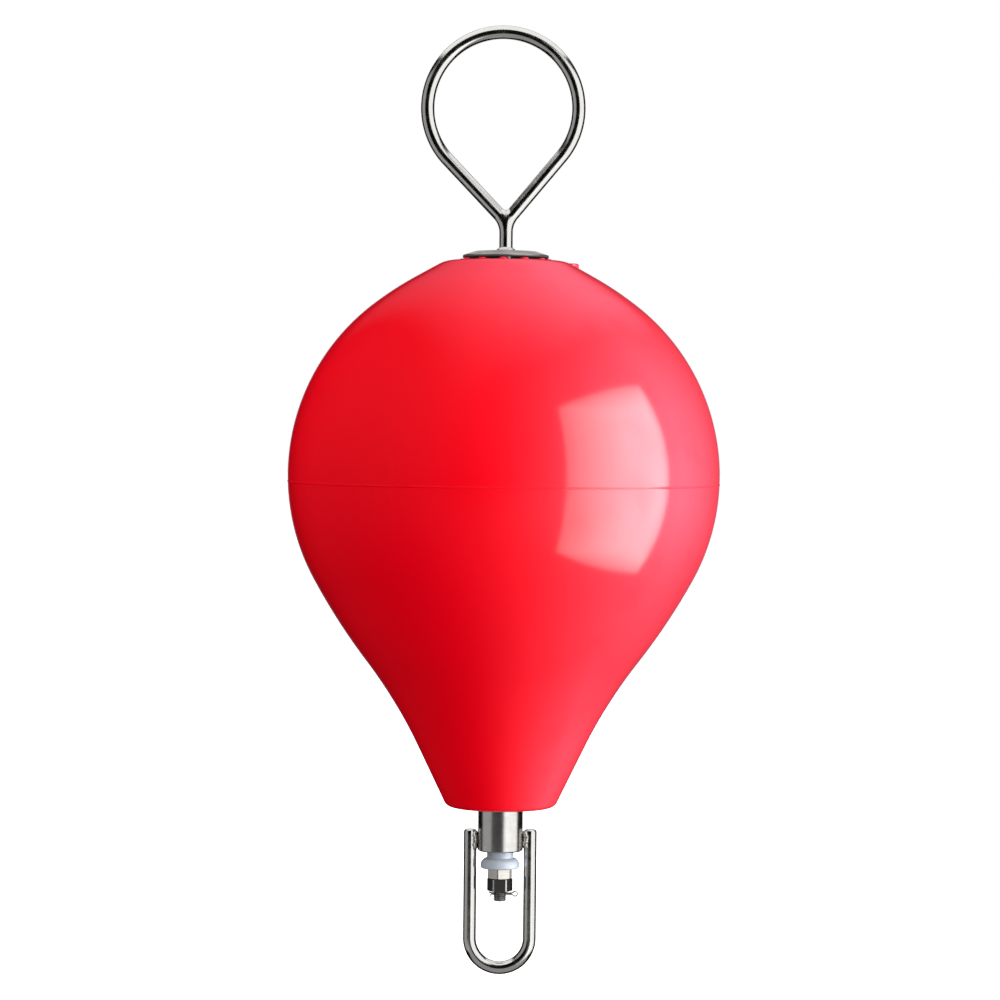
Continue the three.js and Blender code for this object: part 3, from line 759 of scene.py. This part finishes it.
def offset_to_left(stretch, flat):
    """How far each point in (x, z) lies to the left of a stretch, seen along it."""
    if len(stretch) == 2:
        step = (stretch[1] - stretch[0]) / stretch_length(stretch)
        return (flat[:, 1] - stretch[0][1]) * step[0] - (flat[:, 0] - stretch[0][0]) * step[1]
    centre, radius, first, last = stretch
    return np.sign(last - first) * (radius - np.linalg.norm(flat - centre, axis=-1))


def path_distance(points, stretches):
    """Distance from points to a centreline in the XZ plane, length along it, and offset to its left."""
    flat = points[:, [0, 2]]
    best = np.full(len(points), np.inf)
    run, across = np.zeros(len(points)), np.zeros(len(points))
    passed = 0.0
    for stretch in stretches:
        share = nearest_share(stretch, flat)
        apart = np.linalg.norm(flat - stretch_points(stretch, share), axis=-1)
        run = np.where(apart < best, passed + share * stretch_length(stretch), run)
        across = np.where(apart < best, offset_to_left(stretch, flat), across)
        best = np.minimum(apart, best)
        passed += stretch_length(stretch)
    return np.hypot(best, points[:, 1]), run, across


def path_points(stretches, step):
    """A centreline as points in (x, z), about a step apart."""
    rows = [
        stretch_points(stretch, np.arange(0, 1, step / stretch_length(stretch))) for stretch in stretches]
    return np.concatenate([*rows, stretch_points(stretches[-1], np.ones(1))])


right_path, left_path = ring_stretches(1), ring_stretches(-1)


def crotch_round(z):
    """How far the weld rounds the crotch, in millimetres: most just above where the legs meet."""
    up = smooth_step(leg_meeting - 7, leg_meeting + 5, z)
    return 0.05 + 4.2 * up * smooth_step(leg_meeting + 34, leg_meeting + 16, z)


def ring_surface(points):
    """Nought on the surface. Two distances blend as min(a, b) - max(k - |a - b|, 0)² / 4k.

    The bar is a hundredth of a millimetre thinner than the solid, so that it stays inside its box.
    """
    right = path_distance(points, right_path)[0] - bar_radius + 0.01
    left = path_distance(points, left_path)[0] - bar_radius + 0.01
    k = crotch_round(points[:, 2])
    body = np.minimum(right, left) - np.maximum(k - np.abs(right - left), 0) ** 2 / (4 * k)
    turn = np.arctan2(points[:, 1], points[:, 0])
    lumps = 0.22 * np.sin(7 * turn) + 0.12 * np.sin(13 * turn + 1)
    reach = np.hypot(points[:, 0], points[:, 1])
    above = points[:, 2] - plate_top - bead_offset
    bead = np.hypot(reach - bar_radius - bead_offset, above) - bead_radius - lumps
    k = 1.4
    return np.minimum(body, bead) - np.maximum(k - np.abs(body - bead), 0) ** 2 / (4 * k)


def gradient(surface, points, step=0.02):
    """The direction in which a formula grows, from its values a small step away on each axis."""
    ahead = [surface(points + step * axis) for axis in np.eye(3)]
    behind = [surface(points - step * axis) for axis in np.eye(3)]
    return np.stack([a - b for a, b in zip(ahead, behind)], axis=-1) / (2 * step)


def settled(surface, points, rounds=4):
    """Points moved onto a formula's zero, each along its gradient, with the gradient as their normals."""
    for _ in range(rounds):
        slope = gradient(surface, points)
        points = points - slope * (surface(points) / np.maximum((slope ** 2).sum(-1), 0.05))[:, None]
    slope = gradient(surface, points)
    return points, slope / np.linalg.norm(slope, axis=1, keepdims=True)


# %% [markdown]
# A bar is a circle carried along a centreline in the XZ plane. At each row the circle lies square to the
# line: one of its axes is Y, and the other is the line's direction turned by a quarter.

# %% Bars


def bar_rows(path, radius, columns=40):
    """Circles along a path in (x, z): middle + radius * (cos * across + sin * Y)."""
    step = np.gradient(path, axis=0)
    step /= np.linalg.norm(step, axis=1, keepdims=True)
    angle = TURN * np.arange(columns) / columns
    across = np.stack([step[:, 1], 0 * step[:, 1], -step[:, 0]], axis=-1)
    middle = np.stack([path[:, 0], 0 * path[:, 0], path[:, 1]], axis=-1)
    radius = np.broadcast_to(radius, len(path))[:, None, None]
    sideways = np.sin(angle)[None, :, None] * np.array([0, 1.0, 0])
    return middle[:, None] + radius * (np.cos(angle)[None, :, None] * across[:, None] + sideways)


def voxel_joined(shells, size):
    """The outside of overlapping closed shells as points and quads, from a voxel remesh."""
    rough = bpy.data.objects.new("rough", mesh_of("rough", *joined(*shells)))
    bpy.context.scene.collection.objects.link(rough)
    remesh = rough.modifiers.new("remesh", "REMESH")
    remesh.mode = "VOXEL"
    remesh.voxel_size = size * MM
    made = rough.evaluated_get(bpy.context.evaluated_depsgraph_get()).to_mesh()
    points = np.empty(len(made.vertices) * 3)
    made.vertices.foreach_get("co", points)
    corners = np.empty(len(made.loops), int)
    made.loops.foreach_get("vertex_index", corners)
    rough_mesh = rough.data
    bpy.data.objects.remove(rough)
    bpy.data.meshes.remove(rough_mesh)
    return points.reshape(-1, 3) / MM, corners.reshape(-1, 4)


# %% [markdown]
# Below the plate the same bar runs through the float. Its lower end is threaded for the two nuts: the
# radius is the bar's radius less a groove, and the groove's place turns with the angle, so it is a
# helix. The grain and the welds of the ring are kept for its points, from the same paths as its shape.

# %% Eye rod
bar_bottom, thread_top, thread_pitch, thread_depth = 48.4, 84.0, 1.5, 0.85


def threaded_shank(columns=96):
    """Radius = bar - depth * groove(z / pitch - angle / turn), chamfered at the lower end."""
    z = np.concatenate([np.arange(bar_bottom, thread_top + 1, 0.15), [100, 300, plate_top - 8]])[:, None]
    angle = TURN * np.arange(columns) / columns
    phase = (z / thread_pitch - angle / TURN) % 1
    groove = np.clip(1.15 - 2.6 * np.abs(phase - 0.5), 0, 1) * smooth_step(thread_top, thread_top - 2, z)
    radius = np.minimum(bar_radius - thread_depth * groove, bar_radius - 1.3 + (z - bar_bottom) * 1.1)
    x, y = radius * np.cos(angle), radius * np.sin(angle)
    return closed_grid(np.stack([x, y, z + 0 * angle], axis=-1))


def circle(middle, radius, columns):
    """A round section in (radius, height) for a piece that is carried round an axis."""
    angle = np.linspace(0, TURN, columns, endpoint=False)
    return np.stack([middle[0] + radius * np.cos(angle), middle[1] + radius * np.sin(angle)], axis=-1)


ring_shells = [
    closed_grid(bar_rows(path_points(path, 0.9), bar_radius, 24)) for path in (right_path, left_path)]
bead_section = circle((bar_radius + bead_offset, plate_top + bead_offset), bead_radius, 16)
ring_shells.append(closed_grid(revolved(bead_section, 48), loop=True))
ring_points, ring_quads = voxel_joined(ring_shells, 1.15)
ring_points, ring_normals = settled(ring_surface, ring_points)

shank_shell = threaded_shank()
ring_shell = (ring_points, ring_quads, np.zeros((0, 3), int))
rod_points, rod_quads, rod_triangles = joined(ring_shell, shank_shell)
rod_normals = np.concatenate([ring_normals, area_normals(*shank_shell)])
rod_mesh = mesh_of("eye_rod_dressed", rod_points, rod_quads, rod_triangles, rod_normals)

from_right, right_run, right_across = path_distance(ring_points, right_path)
from_left, left_run, left_across = path_distance(ring_points, left_path)
on_right = from_right < from_left
rod_run = np.concatenate([np.where(on_right, right_run, left_run), shank_shell[0][:, 2]])
rod_across = np.concatenate([np.where(on_right, right_across, left_across), shank_shell[0][:, 0]])
keep(rod_mesh, "grain", np.stack([rod_run, rod_points[:, 1], rod_across], axis=-1))
ring_height = ring_points[:, 2]
crotch = smooth_step(3.0, 0.5, np.abs(from_right - from_left))
crotch = crotch * smooth_step(leg_meeting + 2, leg_meeting + 7, ring_height)
crotch = crotch * smooth_step(leg_meeting + 20, leg_meeting + 13, ring_height)
foot_weld = smooth_step(plate_top + 3.2, plate_top + 2.2, ring_height)
keep(rod_mesh, "weld", np.concatenate([np.maximum(crotch, foot_weld), 0 * shank_shell[0][:, 2]]))
rod_piece = dress(rod_mesh, "buoy", "eye_rod", "polished_stainless", steel)
rod_piece.visible_glossy = False

# %% [markdown]
# ## Turned pieces
#
# The plate, the sleeve, the bushes and the valve's parts are turned or pressed, so each is a closed
# profile carried round the axis. Every corner of a real part is a little round. The profile is written as
# corners with a fillet each, and the fillet is an arc that touches both sides of its corner.

# %% Rounded profiles


def rounded(corners, steps=5):
    """A closed profile through (radius, height, fillet) corners, with an arc in place of each corner."""
    rows = []
    for i, (r, z, fillet) in enumerate(corners):
        corner = np.array([r, z])
        before = np.array(corners[i - 1][:2]) - corner
        after = np.array(corners[(i + 1) % len(corners)][:2]) - corner
        before = before / np.linalg.norm(before)
        after = after / np.linalg.norm(after)
        half = math.acos(np.clip(before @ after, -1, 1)) / 2
        if fillet == 0 or half > math.pi / 2 - 0.01:
            rows.append(corner[None])
            continue
        centre = corner + (before + after) / np.linalg.norm(before + after) * fillet / math.sin(half)
        first = corner + before * fillet / math.tan(half) - centre
        last = corner + after * fillet / math.tan(half) - centre
        start = math.atan2(first[1], first[0])
        sweep = (math.atan2(last[1], last[0]) - start + math.pi) % TURN - math.pi
        angle = start + sweep * np.linspace(0, 1, steps + 1)
        rows.append(centre + fillet * np.stack([np.cos(angle), np.sin(angle)], axis=-1))
    return np.concatenate(rows)


def turned_mesh(name, corners, columns=128, middle=(0, 0)):
    """A turned ring, with its lathe place kept: height plus radius, which changes across the marks."""
    points, quads, triangles = closed_grid(revolved(rounded(corners), columns, middle), loop=True)
    mesh = mesh_of(name, points, quads, triangles)
    x, y = points[:, 0] - middle[0], points[:, 1] - middle[1]
    keep(mesh, "lathe", np.stack([points[:, 2] + np.hypot(x, y), x, y], axis=-1))
    return mesh


# %% [markdown]
# ## Turned steel
#
# A lathe leaves fine rings, so the pattern hardly changes round the axis and changes quickly across it.
# The rings blur a reflection a little, mostly up and down. The sleeve is bright from the lathe.

# %% Turned steel


def turned_steel(name, light, dark, rough):
    """Steel with fine rings, broader bands and smears between a light and a dark tone."""
    finish = new_finish(name)
    lathe = finish.node("ShaderNodeAttribute", {"attribute_name": "lathe"}, output="Vector")
    rings = finish.noise(finish.scaled(lathe, (6.0, 0.03, 0.03)), 1.0)
    bands = finish.noise(finish.scaled(lathe, (0.9, 0.05, 0.05)), 1.0, detail=2.0)
    smears = finish.noise(finish.scaled(lathe, (0.15, 0.15, 0.15)), 1.0)
    colour = finish.mixed(finish.ramp(smears * 0.6 + bands * 0.4, 0.3, 0.7), dark, light)
    relief = finish.relief(rings, 0.000025)
    return finish.set(
        Base_Color=colour, Metallic=1.0, Roughness=rough + rings * 0.08 + bands * 0.06, Normal=relief)


sleeve_low, sleeve_high, sleeve_radius, sleeve_bore = 88.7, 127.0, 18.05, 10.8
sleeve_mesh = turned_mesh("sleeve", [
    (sleeve_bore, sleeve_low, 0.4), (sleeve_radius - 1, sleeve_low, 0.2),
    (sleeve_radius, sleeve_low + 1, 0.3), (sleeve_radius, sleeve_high - 1, 0.3),
    (sleeve_radius - 1, sleeve_high, 0.2), (sleeve_bore, sleeve_high, 0.4)])
turned_finish = turned_steel("turned_stainless", (0.62, 0.61, 0.59), (0.52, 0.51, 0.485), 0.16)
dress(sleeve_mesh, "swivel", "swivel_sleeve", "turned_stainless", turned_finish)

# %% [markdown]
# ## The plate
#
# The plate is pressed from sheet with a flat middle and a rim that slopes down. It was never polished, so
# it is dull and a little pitted. Under it, between the crown's ribs, lies shade, which shows as black
# gaps between the ribs. So its lower face takes painted shade, a dark tone: each point keeps how far it
# lies below the upper face, and the finish reads that as a share from nought to one.

# %% Plate
plate_thickness, plate_drop = 2.5, 3.1
plate_bore, plate_flat, plate_radius = 5.7, 24.3, 34.2


def plate_steel():
    """Dull steel, streaked round and pitted, and painted nearly black as shade where `under` is one."""
    finish = new_finish("plate_stainless")
    lathe = finish.node("ShaderNodeAttribute", {"attribute_name": "lathe"}, output="Vector")
    under = finish.node("ShaderNodeAttribute", {"attribute_name": "under"}, output="Fac")
    smears = finish.noise(finish.scaled(lathe, (0.5, 0.12, 0.12)), 1.0, detail=4.0)
    pits = finish.ramp(finish.noise(finish.scaled(lathe, (2.2, 1.1, 1.1)), 1.0, detail=3.0), 0.6, 0.72)
    colour = finish.mixed(finish.ramp(smears, 0.35, 0.65), (0.34, 0.333, 0.325), (0.52, 0.51, 0.49))
    colour = finish.mixed(pits * 0.4, colour, (0.16, 0.155, 0.15))
    # painted shade: the lower face is coloured nearly black, and made less metallic and rougher
    colour = finish.mixed(under, colour, (0.02, 0.016, 0.016))
    relief = finish.relief(smears * 0.5 - pits * 0.5, 0.00004)
    rough = 0.3 + smears * 0.15 + under * 0.4
    return finish.set(Base_Color=colour, Metallic=1 - under, Roughness=rough, Normal=relief)


plate_under = plate_top - plate_thickness
plate_rim = plate_top - plate_drop - plate_thickness
plate_mesh = turned_mesh("plate", [
    (plate_bore, plate_under, 0.3), (plate_flat, plate_under, 0), (plate_radius, plate_rim, 0.5),
    (plate_radius, plate_rim + plate_thickness, 0.5), (plate_flat, plate_top, 0),
    (plate_bore, plate_top, 0.3)])
plate_points = np.empty(len(plate_mesh.vertices) * 3)
plate_mesh.vertices.foreach_get("co", plate_points)
plate_points = plate_points.reshape(-1, 3) / MM
plate_reach = np.hypot(plate_points[:, 0], plate_points[:, 1])
plate_upper = np.interp(
    plate_reach, [plate_flat, plate_radius], [plate_top, plate_rim + plate_thickness])
# painted shade: the share of the dark tone on the plate's lower face
keep(plate_mesh, "under", smooth_step(1.2, 1.9, plate_upper - plate_points[:, 2]))
dress(plate_mesh, "buoy", "top_plate", "polished_stainless", plate_steel())

# %% [markdown]
# ## The bail and its welds
#
# The bail is a bar bent to a U whose leg tops are ground round. A bead of weld joins each leg to the
# sleeve, laid as a row of overlapping drops, so its size swells and shrinks along the row.

# %% Bail
bail_radius, leg_offset, leg_top, bow_height, end_round = 5.2, 23.95, 106.1, 18.75, 2.4


def bail_bar():
    """The U as rows of circles. Near each end the radius shrinks as a quarter circle."""
    down = line((-leg_offset, leg_top - 1.2), (-leg_offset, bow_height), 1.0)
    end = np.array([[-leg_offset, leg_top - drop] for drop in (0, 0.03, 0.12, 0.3, 0.6, 0.9)])
    bow = arc(np.array([0, bow_height]), leg_offset, 180, 270, 0.8)
    half = np.concatenate([end, down, bow])
    path = np.concatenate([half, [[0, bow_height - leg_offset]], half[::-1] * [-1, 1]])
    run = np.concatenate([[0], np.cumsum(np.linalg.norm(np.diff(path, axis=0), axis=1))])
    short = np.maximum(end_round - np.minimum(run, run[-1] - run), 0)
    radius = bail_radius - end_round + np.sqrt(end_round ** 2 - short ** 2)
    return bar_rows(path, radius, 56), run


def weld_bead(side, columns=40):
    """A bead between leg and sleeve: an oval section whose size follows |sin| drops along the height."""
    low, high = sleeve_low + 0.9, leg_top - 0.9
    share = np.linspace(0, 1, 110)[:, None]
    angle = TURN * np.arange(columns) / columns
    end = np.sqrt(np.clip(1 - np.abs(2 * share - 1) ** 5, 0.0004, 1))
    drops = 1 + 0.07 * np.abs(np.sin(share * math.pi * 6.5 + 0.6 * np.sin(angle)))
    drops = drops + 0.03 * np.sin(share * 23 + 2 * angle)
    middle = side * (20.6 + 0.35 * np.sin(share * 11 + side))
    x = middle + 3.1 * end * drops * np.cos(angle)
    y = 5.3 * end * drops * np.sin(angle)
    return closed_grid(np.stack([x, y, low + (high - low) * share + 0 * angle], axis=-1))


bail_grid, bail_run = bail_bar()
bail_shell = closed_grid(bail_grid)
bail_points, bail_quads, bail_triangles = joined(bail_shell, weld_bead(1), weld_bead(-1))
bail_mesh = mesh_of("bail_dressed", bail_points, bail_quads, bail_triangles)
on_bar = len(bail_shell[0])
bar_along = np.repeat(bail_run, bail_grid.shape[1])
bail_along = np.concatenate([bar_along, [0, bail_run[-1]], bail_points[on_bar:, 2]])
keep(bail_mesh, "grain", np.stack([bail_along, bail_points[:, 1], bail_points[:, 0]], axis=-1))
keep(bail_mesh, "weld", (np.arange(len(bail_points)) >= on_bar).astype(float))
dress(bail_mesh, "swivel", "bail", "polished_stainless", steel)

# %% [markdown]
# ## The bushes
#
# Two nylon bushes carry the bar in the sleeve, one from each end. Nylon is pale, a little blue here, and
# lets some light in, so its shadows are soft. Turning and wear leave it faintly mottled.

# %% Bushes


def grey_nylon():
    """Pale blue-grey with fine mottling, grimy patches and a slightly rough face."""
    finish = new_finish("grey_nylon")
    place = finish.node("ShaderNodeTexCoord", output="Object")
    mottle = finish.noise(place, 240.0, detail=4.0, roughness=0.6)
    grime = finish.ramp(finish.noise(place, 90.0), 0.5, 0.75)
    colour = finish.mixed(mottle, (0.31, 0.35, 0.40), (0.40, 0.44, 0.49))
    colour = finish.mixed(grime * 0.35, colour, (0.25, 0.27, 0.30))
    relief = finish.relief(finish.noise(place, 900.0), 0.00006)
    return finish.set(
        Base_Color=colour, Roughness=0.42 + grime * 0.15, Normal=relief, Subsurface_Weight=0.12,
        Subsurface_Scale=0.002)


nylon = grey_nylon()
bush_bore, bush_neck, bush_length, flange_overhang, flange_height = 5.7, 10.5, 18, 5, 8.2
dome_height, flange_chamfer = 5.8, 0.9


def bush_mesh(name, foot, up):
    """A bush with its neck's foot at a height: the flange's side is domed as a quarter of an oval."""
    t = np.linspace(0, math.pi / 2, 9)[:-1]
    dome = [(bush_neck + flange_overhang * math.cos(a), dome_height * math.sin(a) - dome_height, 0)
            for a in t]
    flange = bush_neck + flange_overhang
    corners = [
        (bush_bore, -flange_height, 0.4), (flange - flange_chamfer, -flange_height, 0.3),
        (flange, flange_chamfer - flange_height, 0.3), *dome,
        (bush_neck, 0, 0.4), (bush_neck, bush_length, 0.5), (bush_bore, bush_length, 0.4)]
    placed = [(r, foot + up * z, fillet) for r, z, fillet in corners]
    return turned_mesh(name, placed[::up])


dress(bush_mesh("bush_above", 127.3, -1), "bearing", "upper_bush", "grey_nylon", nylon)
dress(bush_mesh("bush_below", 83.0, 1), "buoy", "lower_bush", "grey_nylon", nylon)

# %% [markdown]
# ## The nuts
#
# A hexagon is the radius apothem / cos(angle) repeated every 60 degrees. The chamfers are a cone, and
# the nut is whatever lies inside both. The upper nut is bright. The lower one is nearly black, with
# bright corners: its faces are coloured nearly black, and its corners are painted lighter as highlights.
# So each point keeps how near it lies to a corner, and noise frays the edge of the painted highlights.

# %% Nuts


def nut_mesh(name, low, high, turn):
    """Radius = min(hexagon, cone), with rounded corners, carried up from one face to the other."""
    apothem, bore, columns = 9.0, 5.7, 180
    corner = apothem / math.cos(math.pi / 6)
    swing = TURN * np.arange(columns) / columns
    angle = math.radians(turn) + swing
    from_middle = swing % (TURN / 6) - TURN / 12
    hexagon = np.minimum(apothem / np.cos(from_middle), corner - 0.22)
    inwards = np.array([0, 0.15, 0.3, 0.45, 0.6, 0.75, 0.95])
    z = np.concatenate([low + inwards, [(low + high) / 2], (high - inwards)[::-1]])[:, None]
    from_face = np.minimum(z - low, high - z)
    outer = np.minimum(hexagon, corner - 1 + from_face * math.sqrt(3))
    outer = outer - 0.12 * smooth_step(0.12, 0, from_face)
    inner = np.array([[bore + 0.5, high], [bore, high - 0.5], [bore, low + 0.5], [bore + 0.5, low]])
    radius = np.concatenate([outer, inner[:, :1] + 0 * angle])
    height = np.concatenate([z, inner[:, 1:]]) + 0 * angle
    points, quads, triangles = closed_grid(
        np.stack([radius * np.cos(angle), radius * np.sin(angle), height], axis=-1), loop=True)
    mesh = mesh_of(name, points, quads, triangles)
    keep(mesh, "lathe", np.stack([points[:, 2], points[:, 0], points[:, 1]], axis=-1))
    # how near each point lies to a corner, where the dark nut paints its highlights
    keep(mesh, "corner", smooth_step(9.75, 10.15, np.hypot(points[:, 0], points[:, 1])))
    return mesh


def dark_nut():
    """Steel coloured nearly black, with painted highlights at the corners and in specks."""
    finish = new_finish("dark_nut")
    place = finish.node("ShaderNodeTexCoord", output="Object")
    corner = finish.node("ShaderNodeAttribute", {"attribute_name": "corner"}, output="Fac")
    wear = finish.noise(place, 900.0, detail=4.0)
    # painted highlights: the corners and some specks are coloured as lighter, shinier bare steel
    painted_highlights = finish.ramp(corner * 0.55 + wear, 0.72, 0.95)
    colour = finish.mixed(painted_highlights, (0.075, 0.074, 0.078), (0.62, 0.59, 0.55))
    relief = finish.relief(wear, 0.00004)
    return finish.set(
        Base_Color=colour, Metallic=0.7 + painted_highlights * 0.3, Roughness=0.42 - painted_highlights * 0.15, Normal=relief)


nut_finish = turned_steel("nut_stainless", (0.66, 0.63, 0.58), (0.50, 0.47, 0.43), 0.2)
dress(nut_mesh("nut_above", 66.7, 74.7, 19.8), "buoy", "upper_nut", "turned_stainless", nut_finish)
dress(nut_mesh("nut_below", 56.6, 66.6, 0), "buoy", "lower_nut", "turned_stainless", dark_nut())

# %% [markdown]
# ## The split pin
#
# The pin keeps the nuts from unscrewing. It is half-round wire folded double: its section is a D whose
# flat side faces the other half. One path runs up one leg, through the bar, round the eye and back to
# the other leg, so the whole pin is one carried section.

# %% Split pin
pin_height, pin_radius, eye_middle, eye_radius, leg_bend = 54.2, 1.05, 12.2, 1.4, 1.6


def pin_leg(up, turn, length):
    """One leg's end in (x, z), from the bar outwards: a bend and a straight stretch."""
    angle = math.radians(-90 * up) - up * np.radians(np.linspace(0, turn, 10))
    x, z = leg_bend * np.cos(angle) - 6.4, leg_bend * np.sin(angle) + up * (leg_bend + 0.05)
    bend = np.stack([x, z], axis=-1)
    heading = np.array([-math.cos(math.radians(turn)), up * math.sin(math.radians(turn))])
    return np.concatenate([bend, bend[-1] + heading * np.linspace(0.3, length, 6)[:, None]])


def split_pin(columns=18):
    """A D carried along leg, shank, eye, shank and leg: flat on the path, and round on its outer side."""
    shank = line((-6.2, 0.05), (eye_middle - 2.6, 0.05), 0.6)
    angle = np.linspace(math.pi - 0.35, -math.pi + 0.35, 40)
    eye = np.stack([eye_middle + eye_radius * np.cos(angle), eye_radius * np.sin(angle)], axis=-1)
    upper_leg, lower_leg = pin_leg(1, 20, 2.0), pin_leg(-1, 75, 1.8)
    path = np.concatenate([upper_leg[::-1], shank, eye, shank[::-1] * [1, -1], lower_leg])
    step = np.gradient(path, axis=0)
    step /= np.linalg.norm(step, axis=1, keepdims=True)
    outwards = np.stack([-step[:, 1], 0 * step[:, 1], step[:, 0]], axis=-1)
    t = np.linspace(-math.pi / 2, math.pi / 2, columns - 5)
    out = np.concatenate([np.cos(t), np.zeros(5)])
    side = np.concatenate([np.sin(t), np.linspace(1, -1, 7)[1:-1]])
    middle = np.stack([path[:, 0], 0 * path[:, 0], path[:, 1] + pin_height], axis=-1)
    sideways = side[None, :, None] * np.array([0, 1.0, 0])
    return closed_grid(middle[:, None] + pin_radius * (out[None, :, None] * outwards[:, None] - sideways))


pin_shell = split_pin()
pin_mesh = mesh_of("split_pin", *pin_shell)
keep(pin_mesh, "lathe", pin_shell[0])
dress(pin_mesh, "buoy", "cotter_pin", "polished_stainless", nut_finish)

# %% [markdown]
# ## The filling valve
#
# A flanged seat is set in the boss, and a plug with a coin slot screws into it against a rubber seal.
# The plug is a profile carried round, with the slot taken from the height of its face.

# %% Valve
gap, seat_flange, seal_radius, plug_head = 0.1, 1.3, 0.6, 1.6
seat_floor = socket_floor + gap
seal_height = seat_floor + seat_flange + seal_radius + gap
head_low = seal_height + seal_radius + gap
head_high = head_low + plug_head

seat_mesh = turned_mesh("valve_socket", [
    (3.7, seat_floor - 13, 0.3), (5.3, seat_floor - 13, 0.3), (5.3, seat_floor, 0),
    (7.1, seat_floor, 0.2), (7.1, seat_floor + seat_flange, 0.3),
    (3.7, seat_floor + seat_flange, 0.3)], 96, valve_place)
dress(seat_mesh, "buoy", "valve_seat", "grey_nylon", nylon)

seal = new_finish("black_rubber")
seal_dust = seal.noise(seal.node("ShaderNodeTexCoord", output="Object"), 600.0)
seal.set(
    Base_Color=seal.mixed(seal_dust, (0.012, 0.012, 0.013), (0.035, 0.034, 0.033)),
    Roughness=0.55 + seal_dust * 0.25, Normal=seal.relief(seal_dust, 0.00005))
seal_section = circle((5.4, seal_height), seal_radius, 24)
seal_mesh = mesh_of("valve_seal", *closed_grid(revolved(seal_section, 96, valve_place), loop=True))
dress(seal_mesh, "buoy", "valve_o_ring", "black_rubber", seal.owner)


def plug_shell():
    """The plug's profile carried round; its face sinks by 0.9 mm within 0.7 mm of a line through it."""
    face = np.concatenate([[7.1, 7.06, 6.95], np.linspace(6.8, 0.3, 40)])
    drop = np.concatenate([[0.3, 0.12, 0.03], np.zeros(40)])
    lower = np.array([(1.0, head_low - 8), (3.0, head_low - 8), (3.4, head_low - 7.6), (3.4, head_low),
                      (6.9, head_low), (7.1, head_low + 0.2)])
    profile = np.concatenate([lower, np.stack([face, head_high - drop], axis=-1)])
    grid = revolved(profile, 192, valve_place)
    slot = 0.9 * smooth_step(0.78, 0.62, np.abs(grid[len(lower):, :, 1] - valve_place[1]))
    grid[len(lower):, :, 2] -= np.maximum(slot - drop[:, None], 0)
    return closed_grid(grid)


plug_mesh = mesh_of("valve_plug_dressed", *plug_shell())
dress(plug_mesh, "buoy", "valve_plug", "grey_nylon", nylon)
